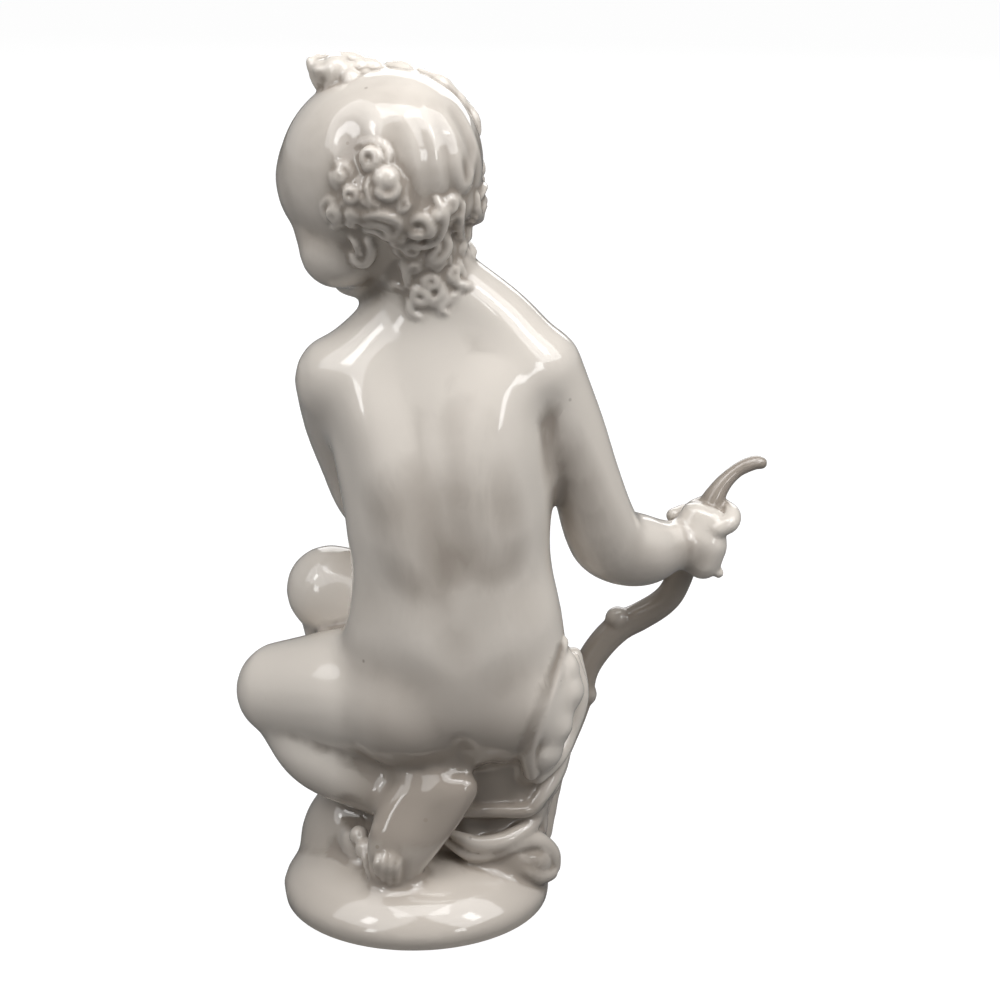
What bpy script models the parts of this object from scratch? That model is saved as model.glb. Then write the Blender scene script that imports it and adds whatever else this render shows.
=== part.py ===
# Crouching porcelain child with a crooked branch, on a round domed base.
# The figure's back faces -Y, its left is at -X, and the middle of the base's underside is the origin.
# Every form is modelled as a closed mass, and the masses are then fused into one solid.

import math

import bmesh
import bpy
import numpy as np
from mathutils import Matrix, Vector

# Base
BASE_RADIUS = 0.0286
BASE_RIM_HEIGHT = 0.005
BASE_HEIGHT = 0.0150
MOUND_HEIGHT = 0.0220

# Torso
SEAT_HEIGHT = 0.046
TORSO_LENGTH = 0.085
HIP_HALF_WIDTH = 0.0226
WAIST_HALF_WIDTH = 0.0210
CHEST_HALF_WIDTH = 0.0235
TORSO_HALF_DEPTH = 0.0165
BUTTOCK_RADIUS = 0.0150
BACK_CURVE = 0.0025
NECK_RADIUS = 0.0100

# Head, turned to the figure's left and bent down
HEAD_HALF_WIDTH = 0.0188
HEAD_HALF_LENGTH = 0.0220
HEAD_HALF_HEIGHT = 0.0192
HEAD_TURN = math.radians(52)
HEAD_NOD = math.radians(24)
CHEEK_RADIUS = 0.0086
CURL_RADIUS = 0.0030

# Limbs
SHOULDER_RADIUS = 0.0098
ARM_RADIUS = 0.0076
WRIST_RADIUS = 0.0054
FIST_RADIUS = 0.0066
FINGER_RADIUS = 0.0021
THIGH_RADIUS = 0.0150
KNEE_RADIUS = 0.0108
CALF_RADIUS = 0.0088
ANKLE_RADIUS = 0.0060
FOOT_LENGTH = 0.0300
FOOT_RADIUS = 0.0066
TOE_RADIUS = 0.0021

# Branch and cloth
BRANCH_RADIUS = 0.0027
BRANCH_TIP_RADIUS = 0.0015
CLOTH_FOLD_RADIUS = 0.0030

# Fineness of the fused solid
BLEND_GRAIN = 0.0011
DETAIL_GRAIN = 0.0007
TRIANGLE_LIMIT = 11800


def moved(point, x, y, z):
    return Vector(point) + Vector((x, y, z))


# Skeleton: each joint is placed from the one that carries it
pelvis = Vector((0.0086, 0.0, SEAT_HEIGHT))
neck_base = moved(pelvis, -0.0041, 0.0040, TORSO_LENGTH)
shoulder_line = moved(neck_base, 0, 0, -0.0150)
left_shoulder = moved(shoulder_line, -CHEST_HALF_WIDTH + 0.0040, 0.0010, -0.0020)
left_elbow = moved(left_shoulder, 0.0050, 0.0210, -0.0320)
left_hand = moved(left_elbow, 0.0080, 0.0110, -0.0170)
right_shoulder = moved(shoulder_line, CHEST_HALF_WIDTH - 0.0030, 0, 0)
right_elbow = moved(right_shoulder, 0.0167, 0.0065, -0.0405)
right_wrist = moved(right_elbow, 0.0145, 0.0105, -0.0045)
right_hand = moved(right_wrist, 0.0050, 0.0045, 0.0018)
left_hip = moved(pelvis, -0.0091, -0.0010, -0.0005)
left_knee = moved(left_hip, -0.0280, 0.0110, -0.0025)
left_ankle = Vector((-0.0075, -0.0060, BASE_HEIGHT + 0.0110))
right_hip = moved(pelvis, 0.0109, 0.0040, 0.0010)
right_knee = moved(right_hip, -0.0380, 0.0190, 0.0140)
right_ankle = Vector((-0.0140, 0.0160, BASE_HEIGHT + 0.0040))
head = moved(neck_base, -0.0108, 0.0020, 0.0270)
head_place = (Matrix.Translation(head) @ Matrix.Rotation(HEAD_TURN, 4, "Z")
              @ Matrix.Rotation(-HEAD_NOD, 4, "X"))


def on_head(x, y, z):
    return head_place @ Vector((x, y, z))


def ball(mesh, centre, radius):
    fineness = 4 if radius > 0.006 else 3
    bmesh.ops.create_icosphere(mesh, subdivisions=fineness, radius=radius, matrix=Matrix.Translation(centre))


def egg(mesh, centre, radii, turn=Matrix()):
    size = Matrix.Diagonal((*radii, 1))
    bmesh.ops.create_icosphere(mesh, subdivisions=4, radius=1, matrix=Matrix.Translation(centre) @ turn @ size)


def smooth_path(stations, steps):
    # Catmull-Rom curve through rows of numbers, such as (x, y, z, radius)
    rows = [np.array(row, dtype=float) for row in stations]
    rows = [2 * rows[0] - rows[1]] + rows + [2 * rows[-1] - rows[-2]]
    path = []
    for a, b, c, d in zip(rows, rows[1:], rows[2:], rows[3:]):
        for step in range(steps):
            t = step / steps
            path.append(0.5 * (2 * b + (c - a) * t + (2 * a - 5 * b + 4 * c - d) * t * t
                               + (3 * b - a - 3 * c + d) * t ** 3))
    return path + [rows[-2]]


def tube(mesh, stations, sides=20, steps=6):
    # Round limb through (point, radius) stations, with a round end at either side
    path = smooth_path([(*point, radius) for point, radius in stations], steps)
    points = [Vector(row[:3]) for row in path]
    radii = [max(float(row[3]), 0.0002) for row in path]
    across = (points[1] - points[0]).orthogonal().normalized()
    previous = None
    first = None
    for i, point in enumerate(points):
        along = (points[min(i + 1, len(points) - 1)] - points[max(i - 1, 0)]).normalized()
        across = (across - along * across.dot(along)).normalized()
        other = along.cross(across)
        ring = []
        for side in range(sides):
            angle = 2 * math.pi * side / sides
            ring.append(mesh.verts.new(point + radii[i] * (across * math.cos(angle) + other * math.sin(angle))))
        if previous:
            for side in range(sides):
                after = (side + 1) % sides
                mesh.faces.new((previous[side], previous[after], ring[after], ring[side]))
        first = first or ring
        previous = ring
    mesh.faces.new(first[::-1])
    mesh.faces.new(previous)
    ball(mesh, points[0], radii[0])
    ball(mesh, points[-1], radii[-1])


def loft(mesh, sections, sides=40, steps=6):
    # Oval body through sections (centre x, y, z, half width, half depth)
    path = smooth_path(sections, steps)
    previous = None
    first = None
    for x, y, z, width, depth in path:
        ring = []
        for side in range(sides):
            angle = 2 * math.pi * side / sides
            ring.append(mesh.verts.new((x + width * math.cos(angle), y + depth * math.sin(angle), z)))
        if previous:
            for side in range(sides):
                after = (side + 1) % sides
                mesh.faces.new((previous[side], previous[after], ring[after], ring[side]))
        first = first or ring
        previous = ring
    mesh.faces.new(first[::-1])
    mesh.faces.new(previous)


def base(mesh):
    # Turned dome that reaches below the ground, where it is cut flat at the end, and a rise behind the foot
    depth = 0.0060
    curve = [(0, 1), (0.49, 0.93), (0.74, 0.80), (0.89, 0.66), (0.965, 0.50)]
    outline = [Vector((BASE_RADIUS * across, 0, BASE_HEIGHT * height)) for across, height in curve]
    outline += [Vector((BASE_RADIUS, 0, BASE_RIM_HEIGHT)), Vector((BASE_RADIUS, 0, 0.0015))]
    outline += [Vector((BASE_RADIUS - 0.0008, 0, 0)), Vector((BASE_RADIUS - 0.0008, 0, -depth)), Vector((0, 0, -depth))]
    verts = [mesh.verts.new(point) for point in outline]
    edges = [mesh.edges.new(pair) for pair in zip(verts, verts[1:])]
    bmesh.ops.spin(mesh, geom=verts + edges, cent=(0, 0, 0), axis=(0, 0, 1), angle=2 * math.pi, steps=64)
    egg(mesh, (-0.0040, 0.0080, MOUND_HEIGHT - 0.0140), (0.0215, 0.0170, 0.0140))
    egg(mesh, (0.0020, 0.0070, MOUND_HEIGHT), (0.0150, 0.0110, 0.0150))


def torso(mesh):
    side = [(-0.13, 0.80, 0.78, HIP_HALF_WIDTH), (-0.02, 0.98, 1.02, HIP_HALF_WIDTH),
            (0.09, 1.03, 1.05, HIP_HALF_WIDTH), (0.21, 1.02, 1.00, HIP_HALF_WIDTH),
            (0.35, 1.02, 0.95, WAIST_HALF_WIDTH), (0.49, 1.04, 0.95, WAIST_HALF_WIDTH),
            (0.63, 0.98, 0.98, CHEST_HALF_WIDTH), (0.76, 1.00, 0.95, CHEST_HALF_WIDTH),
            (0.86, 0.92, 0.84, CHEST_HALF_WIDTH), (0.94, 0.74, 0.70, CHEST_HALF_WIDTH)]
    sections = []
    for share, width, depth, half_width in side:
        centre = pelvis.lerp(neck_base, share) - Vector((0, BACK_CURVE * math.sin(math.pi * (share + 0.13)), 0))
        sections.append((*centre, width * half_width, depth * TORSO_HALF_DEPTH))
    sections.append((*moved(neck_base, 0.0015, 0, 0), NECK_RADIUS * 1.20, NECK_RADIUS * 1.05))
    sections.append((*moved(neck_base, -0.0010, 0, 0.0060), NECK_RADIUS, NECK_RADIUS * 0.95))
    loft(mesh, sections)
    # Belly, chest and shoulder blades
    egg(mesh, moved(pelvis, -0.0015, 0.0080, 0.0190), (0.0185, 0.0155, 0.0190))
    egg(mesh, moved(shoulder_line, -0.0095, 0.0065, -0.0080), (0.0110, 0.0090, 0.0100))
    egg(mesh, moved(shoulder_line, 0.0100, 0.0060, -0.0075), (0.0110, 0.0090, 0.0100))
    egg(mesh, moved(shoulder_line, -0.0110, -0.0035, -0.0060), (0.0115, 0.0105, 0.0150))
    egg(mesh, moved(shoulder_line, 0.0135, -0.0035, -0.0060), (0.0115, 0.0105, 0.0150))
    # Buttocks
    egg(mesh, moved(pelvis, -0.0100, -0.0050, 0.0005), (BUTTOCK_RADIUS, BUTTOCK_RADIUS * 0.92, BUTTOCK_RADIUS))
    egg(mesh, moved(pelvis, 0.0088, -0.0045, 0.0018), (BUTTOCK_RADIUS, BUTTOCK_RADIUS * 0.90, BUTTOCK_RADIUS))
    egg(mesh, moved(pelvis, -0.0010, -0.0030, 0.0080), (HIP_HALF_WIDTH, 0.0150, 0.0160))
    # Slopes from the neck to the shoulders
    tube(mesh, [(moved(neck_base, 0.0040, -0.0010, 0.0040), 0.0072),
                (moved(neck_base, 0.0150, -0.0010, -0.0065), 0.0070), (right_shoulder, SHOULDER_RADIUS * 0.9)])
    tube(mesh, [(moved(neck_base, -0.0040, 0, 0.0010), 0.0072),
                (moved(neck_base, -0.0140, 0, -0.0095), 0.0070), (left_shoulder, SHOULDER_RADIUS * 0.9)])


def arms(mesh):
    tube(mesh, [(right_shoulder, SHOULDER_RADIUS), (moved(right_shoulder, 0.0063, 0.0010, -0.0130), 0.0082),
                (moved(right_shoulder, 0.0106, 0.0020, -0.0250), ARM_RADIUS),
                (moved(right_shoulder, 0.0137, 0.0040, -0.0350), ARM_RADIUS * 1.06),
                (right_elbow, ARM_RADIUS * 1.08), (moved(right_elbow, 0.0070, 0.0050, -0.0035), ARM_RADIUS * 1.04),
                (right_wrist, WRIST_RADIUS)])
    tube(mesh, [(left_shoulder, SHOULDER_RADIUS), (moved(left_shoulder, 0.0000, 0.0080, -0.0110), 0.0084),
                (moved(left_shoulder, 0.0020, 0.0150, -0.0220), ARM_RADIUS),
                (left_elbow, ARM_RADIUS), (moved(left_elbow, 0.0045, 0.0070, -0.0090), ARM_RADIUS * 0.9),
                (left_hand, WRIST_RADIUS)])


def left_leg(mesh):
    tube(mesh, [(left_hip, THIGH_RADIUS), (moved(left_hip, -0.0130, 0.0040, 0.0000), THIGH_RADIUS * 0.93),
                (left_knee, KNEE_RADIUS)])
    tube(mesh, [(moved(left_knee, 0.0020, 0.0010, -0.0060), CALF_RADIUS),
                (left_knee.lerp(left_ankle, 0.45) + Vector((-0.0010, 0, -0.0040)), CALF_RADIUS),
                (left_ankle, ANKLE_RADIUS)])


def right_leg(mesh):
    tube(mesh, [(right_hip, THIGH_RADIUS), (right_hip.lerp(right_knee, 0.45) + Vector((0, 0.0060, 0)), 0.0130),
                (right_knee, KNEE_RADIUS * 0.93)])
    tube(mesh, [(moved(right_knee, 0.0010, 0.0020, -0.0030), CALF_RADIUS),
                (right_knee.lerp(right_ankle, 0.45) + Vector((0, 0.0060, 0)), CALF_RADIUS * 0.95),
                (right_ankle, ANKLE_RADIUS)])
    egg(mesh, moved(right_ankle, -0.0010, 0.0030, -0.0040), (0.0055, 0.0100, 0.0050))


def foot(mesh):
    # Its sole faces back: the heel is up to the right under the buttock, the toes rest on the dome at the left
    sole = Vector((-0.0015, -0.0185, BASE_HEIGHT + 0.0050))
    toward = Vector((-0.54, -0.17, -0.79)).normalized()
    upper_side = Vector((-0.826, 0, 0.564))
    inward = toward.cross(upper_side)
    place = Matrix.Translation(sole) @ Matrix((upper_side, toward, inward)).transposed().to_4x4()
    turn = place.to_3x3().to_4x4()
    heel = place @ Vector((-0.0014, -FOOT_LENGTH * 0.44, 0.0045))
    egg(mesh, heel, (FOOT_RADIUS * 0.80, FOOT_RADIUS * 0.85, FOOT_RADIUS * 0.85), turn)
    egg(mesh, place @ Vector((-0.0004, -0.0060, 0.0046)), (FOOT_RADIUS * 0.95, 0.0100, FOOT_RADIUS * 0.85), turn)
    egg(mesh, place @ Vector((-0.0002, 0.0010, 0.0036)), (FOOT_RADIUS * 0.98, 0.0078, FOOT_RADIUS * 0.72), turn)
    egg(mesh, place @ Vector((-0.0010, 0.0046, 0.0026)), (FOOT_RADIUS * 0.80, 0.0064, FOOT_RADIUS * 0.58), turn)
    tube(mesh, [(left_ankle, ANKLE_RADIUS), (place @ Vector((0.0008, -0.0060, 0.0060)), FOOT_RADIUS * 0.85)])
    for i in range(4):
        top = place @ Vector((0.0052 - 0.0016 * i, 0.0035 + 0.0010 * i, 0.0002 - 0.0003 * i))
        tip = top + Vector((-0.0012, -0.0001, -0.0046))
        tube(mesh, [(top, TOE_RADIUS * 0.50), (top.lerp(tip, 0.5) + Vector((0, -0.0005, 0)), TOE_RADIUS * 0.60),
                    (tip, TOE_RADIUS * 0.55)], 12, 3)
    tube(mesh, [(place @ Vector((0.0058, -0.0055, 0.0040)), TOE_RADIUS * 0.6),
                (place @ Vector((0.0064, -0.0012, 0.0022)), TOE_RADIUS * 0.8)], 12, 3)
    # Toes of the other foot
    for x, y, z in ((-0.0118, 0.0095, -0.0029), (-0.0098, 0.0075, -0.0048), (-0.0098, 0.0065, -0.0090)):
        ball(mesh, sole + Vector((x, y, z)), TOE_RADIUS)


def head_mass(mesh):
    turn = head_place.to_3x3().to_4x4()
    egg(mesh, head, (HEAD_HALF_WIDTH, HEAD_HALF_LENGTH, HEAD_HALF_HEIGHT), turn)
    egg(mesh, on_head(0, 0.0075, 0.0010), (0.0165, 0.0160, 0.0160), turn)
    ball(mesh, on_head(-0.0080, 0.0105, -0.0130), CHEEK_RADIUS)
    ball(mesh, on_head(0.0080, 0.0105, -0.0130), CHEEK_RADIUS)
    ball(mesh, on_head(0, 0.0120, -0.0150), CHEEK_RADIUS)
    egg(mesh, on_head(0, 0.0150, -0.0185), (0.0050, 0.0050, 0.0042), turn)
    tube(mesh, [(on_head(0, 0.0190, -0.0030), 0.0018), (on_head(0, 0.0225, -0.0090), 0.0023)], 12, 4)
    for side in (-1, 1):
        ball(mesh, on_head(side * 0.0020, 0.0212, -0.0095), 0.0016)
        egg(mesh, on_head(side * 0.0072, 0.0165, -0.0050), (0.0034, 0.0026, 0.0026), turn)
    egg(mesh, on_head(0, 0.0205, -0.0137), (0.0033, 0.0016, 0.0012), turn)
    egg(mesh, on_head(0, 0.0202, -0.0157), (0.0028, 0.0016, 0.0012), turn)
    tube(mesh, [(moved(neck_base, 0.0010, 0.0010, -0.0020), NECK_RADIUS), (on_head(0, -0.0020, -0.0090), NECK_RADIUS)])


def curl(mesh, turn, lift, size, twist=1):
    # Snail curl on the head, at an angle round it from the face and a height angle
    out = Vector((math.sin(turn) * math.cos(lift), math.cos(turn) * math.cos(lift), math.sin(lift)))
    seat = Vector((out.x * HEAD_HALF_WIDTH, out.y * HEAD_HALF_LENGTH, out.z * HEAD_HALF_HEIGHT))
    across = out.orthogonal().normalized()
    other = out.cross(across)
    stations = []
    for i in range(11):
        share = i / 10
        angle = twist * share * 2.6 * math.pi
        reach = size * (0.85 - 0.70 * share)
        point = seat + out * size * (0.05 + 0.55 * share) + reach * (across * math.cos(angle)
                                                                     + other * math.sin(angle))
        stations.append((head_place @ point, size * (0.38 - 0.10 * share)))
    tube(mesh, stations, 10, 2)
    egg(mesh, head_place @ (seat + out * size * 0.1), (size * 0.8, size * 0.8, size * 0.8))


def hair(mesh):
    # Rows of (angle round from the face, below zero on the figure's left, height angle, share of the curl radius)
    seen = [(-123, 3, 0.95), (-127, -14, 1.20), (-103, -1, 0.55), (-105, -13, 0.66), (-90, -19, 0.66),
            (-98, -26, 0.60), (-115, -34, 1.00), (-86, -47, 0.80), (-153, -42, 1.00), (-168, -62, 0.95),
            (-136, -58, 0.85), (-122, -50, 0.85), (-136, -30, 0.80), (-177, -34, 0.95), (157, -46, 1.15),
            (148, -34, 0.90), (170, -56, 0.95)]
    far = [(104, -10, 1.10), (116, -26, 1.20), (134, -20, 1.10), (92, -30, 0.90), (106, -44, 1.00), (126, -44, 1.05)]
    nape = [(-0.0020, -0.0110, 0.0075, 0.80), (0.0010, -0.0112, 0.0038, 0.72), (-0.0012, -0.0120, 0.0006, 0.85),
            (0.0050, -0.0100, 0.0070, 0.70)]
    for i, (turn, lift, share) in enumerate(seen + far):
        curl(mesh, math.radians(turn), math.radians(lift), CURL_RADIUS * share, 1 if i % 2 else -1)
    for x, y, z, share in nape:
        ball(mesh, moved(neck_base, x, y, z), CURL_RADIUS * share)
    # Forelock and the crest of small curls over the top
    forelock = [(-63, 74, 1.00), (-88, 80, 1.10), (-40, 66, 0.90), (150, 83, 1.05), (-131, 66, 0.80), (-120, 57, 0.50)]
    crest = [(168, 72, 0.85), (164, 63, 0.75), (161, 55, 0.85), (156, 47, 0.70), (151, 40, 0.80), (150, 32, 0.70),
             (148, 22, 0.60)]
    for i, (turn, lift, share) in enumerate(forelock + crest):
        curl(mesh, math.radians(turn), math.radians(lift), CURL_RADIUS * share, 1 if i % 2 else -1)


def fist(mesh):
    ball(mesh, moved(right_hand, -0.0010, -0.0005, 0), FIST_RADIUS)
    ball(mesh, moved(right_hand, 0.0015, 0.0020, 0.0005), FIST_RADIUS * 0.9)
    for i in range(4):
        height = 0.0048 - 0.0036 * i
        tube(mesh, [(moved(right_hand, 0.0010, 0.0065, height), FINGER_RADIUS),
                    (moved(right_hand, 0.0060, 0.0050, height), FINGER_RADIUS),
                    (moved(right_hand, 0.0078, -0.0005, height), FINGER_RADIUS),
                    (moved(right_hand, 0.0040, -0.0050, height), FINGER_RADIUS)], 12, 4)
    tube(mesh, [(moved(right_hand, -0.0040, -0.0050, 0.0020), FINGER_RADIUS * 1.2),
                (moved(right_hand, 0.0020, -0.0065, 0.0050), FINGER_RADIUS * 1.1),
                (moved(right_hand, 0.0068, -0.0040, 0.0065), FINGER_RADIUS)], 12, 4)
    egg(mesh, left_hand, (0.0060, 0.0060, 0.0042))
    for i in range(4):
        start = moved(left_hand, -0.0036 + 0.0026 * i, 0.0030, -0.0005)
        tube(mesh, [(start, FINGER_RADIUS), (moved(start, 0, 0.0050, -0.0040), FINGER_RADIUS * 0.9)], 12, 3)


def branch(mesh):
    grip = moved(right_hand, 0.0010, 0.0010, 0)
    stations = [(moved(grip, 0.0128, 0.0060, 0.0143), BRANCH_TIP_RADIUS * 0.85),
                (moved(grip, 0.0098, 0.0055, 0.0148), BRANCH_TIP_RADIUS * 1.05),
                (moved(grip, 0.0066, 0.0045, 0.0132), BRANCH_TIP_RADIUS * 1.15),
                (moved(grip, 0.0036, 0.0025, 0.0098), BRANCH_TIP_RADIUS * 1.30),
                (moved(grip, 0.0014, 0.0008, 0.0055), BRANCH_TIP_RADIUS * 1.45), (grip, BRANCH_RADIUS * 0.85),
                (moved(grip, -0.0050, 0.0015, -0.0135), BRANCH_RADIUS * 1.02),
                (moved(grip, -0.0080, 0.0025, -0.0180), BRANCH_RADIUS * 1.02),
                (moved(grip, -0.0128, 0.0030, -0.0212), BRANCH_RADIUS * 1.06),
                (moved(grip, -0.0176, 0.0025, -0.0236), BRANCH_RADIUS * 1.16),
                (moved(grip, -0.0220, 0.0010, -0.0276), BRANCH_RADIUS * 1.08),
                (moved(grip, -0.0252, -0.0010, -0.0325), BRANCH_RADIUS),
                (moved(grip, -0.0268, -0.0030, -0.0385), BRANCH_RADIUS * 1.05),
                (moved(grip, -0.0286, -0.0050, -0.0445), BRANCH_RADIUS * 0.9),
                (Vector((0.0290, 0.0165, 0.0200)), BRANCH_RADIUS * 0.9),
                (Vector((0.0215, 0.0145, BASE_HEIGHT * 0.7)), BRANCH_RADIUS * 0.9)]
    tube(mesh, stations, 16, 5)
    ball(mesh, moved(grip, -0.0176, 0.0020, -0.0216), BRANCH_RADIUS * 1.05)
    ball(mesh, moved(grip, -0.0250, -0.0030, -0.0375), BRANCH_RADIUS)


def cloth(mesh):
    # Draped block under the right hip
    hip = moved(pelvis, 0.0125, 0.0060, 0.0000)
    loft(mesh, [(0.0130, 0.0040, 0.0050, 0.0138, 0.0140), (0.0125, 0.0050, 0.0135, 0.0118, 0.0140),
                (0.0140, 0.0055, 0.0200, 0.0122, 0.0145), (0.0165, 0.0060, 0.0290, 0.0143, 0.0150),
                (hip.x, hip.y, hip.z - 0.0100, 0.0128, 0.0155), (hip.x, hip.y, hip.z, 0.0122, 0.0150),
                (hip.x, hip.y, hip.z + 0.0070, 0.0100, 0.0130)])
    # Folds from the hip down to the base: offsets from the pelvis, with a share of the fold radius
    falls = [[(0.0212, 0.0060, 0.0085, 0.9), (0.0238, 0.0070, -0.0020, 1.0), (0.0238, 0.0065, -0.0125, 0.9),
              (0.0205, 0.0055, -0.0215, 0.8), (0.0170, 0.0040, -0.0275, 0.7), (0.0160, 0.0015, -0.0330, 0.8),
              (0.0190, -0.0020, -0.0375, 1.0)],
             [(0.0200, -0.0010, 0.0040, 0.8), (0.0218, -0.0020, -0.0065, 0.9), (0.0190, -0.0030, -0.0140, 0.9),
              (0.0152, -0.0040, -0.0215, 0.8), (0.0135, -0.0020, -0.0270, 0.6)],
             [(0.0170, -0.0075, -0.0040, 0.7), (0.0152, -0.0090, -0.0095, 0.8), (0.0125, -0.0085, -0.0165, 0.6)],
             [(0.0230, 0.0150, 0.0020, 1.0), (0.0245, 0.0150, -0.0120, 1.0), (0.0205, 0.0140, -0.0270, 1.0),
              (0.0180, 0.0110, -0.0390, 1.0)],
             [(0.0040, -0.0080, -0.0245, 0.4), (0.0100, -0.0070, -0.0250, 0.5), (0.0150, -0.0040, -0.0262, 0.5)],
             [(0.0065, -0.0125, -0.0315, 0.6), (0.0110, -0.0110, -0.0310, 0.7), (0.0165, -0.0060, -0.0300, 0.7)],
             [(0.0075, -0.0145, -0.0345, 0.5), (0.0130, -0.0120, -0.0370, 0.7), (0.0185, -0.0080, -0.0400, 0.8)]]
    for fall in falls:
        tube(mesh, [(moved(pelvis, x, y, z), CLOTH_FOLD_RADIUS * share) for x, y, z, share in fall], 16, 5)


def fused(name, meshes, grain, smoothing):
    # Join closed masses into one body and soften where they meet
    data = bpy.data.meshes.new(name)
    meshes.to_mesh(data)
    meshes.free()
    piece = bpy.data.objects.new(name, data)
    bpy.context.collection.objects.link(piece)
    remesh = piece.modifiers.new("Fuse", "REMESH")
    remesh.mode = "VOXEL"
    remesh.voxel_size = grain
    smooth = piece.modifiers.new("Soften", "SMOOTH")
    smooth.factor = 0.5
    smooth.iterations = smoothing
    return piece


def evaluated(piece):
    graph = bpy.context.evaluated_depsgraph_get()
    mesh = bmesh.new()
    mesh.from_mesh(piece.evaluated_get(graph).to_mesh())
    bpy.data.objects.remove(piece)
    return mesh


def press(mesh, points, width, depth):
    # Raise or, with a depth below zero, hollow the surface along a line of points
    mesh.normal_update()
    line = np.array(smooth_path(points, 4))
    verts = mesh.verts[:]
    places = np.array([vert.co for vert in verts])
    near = np.all((places > line.min(axis=0) - width) & (places < line.max(axis=0) + width), axis=1)
    for i in np.flatnonzero(near):
        reach = np.linalg.norm(line - places[i], axis=1).min() / width
        if reach < 1:
            verts[i].co += verts[i].normal * (depth * (1 - reach * reach) ** 2)


def figurine():
    masses = bmesh.new()
    for form in (base, torso, arms, left_leg, right_leg, cloth):
        form(masses)
    head_mass(masses)
    body = evaluated(fused("body", masses, BLEND_GRAIN, 10))
    spine = [moved(neck_base, 0.0020, -0.0120, -0.0200), moved(neck_base, 0.0025, -0.0150, -0.0420),
             moved(pelvis, -0.0020, -0.0150, 0.0230)]
    press(body, spine, 0.0070, -0.0012)
    cleft = [moved(pelvis, 0.0006, -0.0180, -0.0040), moved(pelvis, 0.0006, -0.0160, -0.0090),
             moved(pelvis, 0.0006, -0.0110, -0.0140)]
    press(body, cleft, 0.0060, -0.0016)
    details = bmesh.new()
    for form in (foot, hair, fist, branch):
        form(details)
    extra = bpy.data.meshes.new("details")
    details.to_mesh(extra)
    details.free()
    body.from_mesh(extra)
    return evaluated(fused("details", body, DETAIL_GRAIN, 2))


def thinned(mesh, limit):
    data = bpy.data.meshes.new("thinned")
    bmesh.ops.triangulate(mesh, faces=mesh.faces[:])
    share = limit / len(mesh.faces)
    mesh.to_mesh(data)
    mesh.free()
    piece = bpy.data.objects.new("thinned", data)
    bpy.context.collection.objects.link(piece)
    decimate = piece.modifiers.new("Fewer faces", "DECIMATE")
    decimate.ratio = share
    return evaluated(piece)


def cut_flat(mesh):
    # The underside is one flat face on the ground
    geometry = mesh.verts[:] + mesh.edges[:] + mesh.faces[:]
    cut = bmesh.ops.bisect_plane(mesh, geom=geometry, plane_co=(0, 0, 0), plane_no=(0, 0, 1), clear_inner=True)
    rim = [item for item in cut["geom_cut"] if isinstance(item, bmesh.types.BMEdge)]
    bmesh.ops.contextual_create(mesh, geom=rim)
    bmesh.ops.triangulate(mesh, faces=[face for face in mesh.faces if len(face.verts) > 4])


def porcelain():
    glaze = bpy.data.materials.new("glazed porcelain")
    glaze.use_nodes = True
    shader = glaze.node_tree.nodes["Principled BSDF"]
    shader.inputs["Base Color"].default_value = (0.74, 0.72, 0.70, 1)
    shader.inputs["Roughness"].default_value = 0.12
    shader.inputs["Metallic"].default_value = 0.0
    return glaze


def main():
    for item in list(bpy.data.objects):
        bpy.data.objects.remove(item)
    mesh = thinned(figurine(), TRIANGLE_LIMIT)
    cut_flat(mesh)
    data = bpy.data.meshes.new("cherub_figurine")
    mesh.to_mesh(data)
    mesh.free()
    piece = bpy.data.objects.new("cherub_figurine", data)
    bpy.context.collection.objects.link(piece)
    data.materials.append(porcelain())
    data.shade_smooth()
    data.set_sharp_from_angle(angle=math.radians(60))


main()
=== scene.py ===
# Glazed porcelain child crouching on a domed base, with a branch in its hand
# Lengths in the dictionaries are millimetres, and pixels are those of the photograph, 1000 by 1000
import math

import bpy
import numpy as np
from mathutils import Matrix, Vector
from mathutils.bvhtree import BVHTree


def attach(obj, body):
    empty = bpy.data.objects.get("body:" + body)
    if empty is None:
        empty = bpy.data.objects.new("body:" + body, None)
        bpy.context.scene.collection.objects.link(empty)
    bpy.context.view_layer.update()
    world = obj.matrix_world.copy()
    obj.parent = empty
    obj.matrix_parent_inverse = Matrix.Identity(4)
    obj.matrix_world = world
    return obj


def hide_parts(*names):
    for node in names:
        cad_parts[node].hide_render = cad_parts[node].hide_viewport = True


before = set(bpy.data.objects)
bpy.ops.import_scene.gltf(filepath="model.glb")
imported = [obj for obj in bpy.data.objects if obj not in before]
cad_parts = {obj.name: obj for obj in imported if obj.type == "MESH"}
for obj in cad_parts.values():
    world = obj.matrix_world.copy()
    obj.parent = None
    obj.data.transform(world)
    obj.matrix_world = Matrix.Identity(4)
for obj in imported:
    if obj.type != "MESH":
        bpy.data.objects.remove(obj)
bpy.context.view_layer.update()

mm = 0.001

view = {
    "eye": (0, -520, 265), "aim": (17.5, 0, 89), "lens": 95.4, "sensor": 36, "frame": 1000, "clip": 0.01,
    # Distances from the eye at which a pixel that misses the figure looks for it
    "search": range(480, 620, 4)}

grain = {"body": 0.95, "bodySmooth": 16, "fine": 0.42, "fineSmooth": 8, "triangles": 194000,
         "sharpAngle": 50}

tubes = {
    # Angles of the rings that round off an end, and the smallest radius
    "capAngles": (0.4, 0.8, 1.15, 1.4, 1.54), "thinnest": 0.02}

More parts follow.
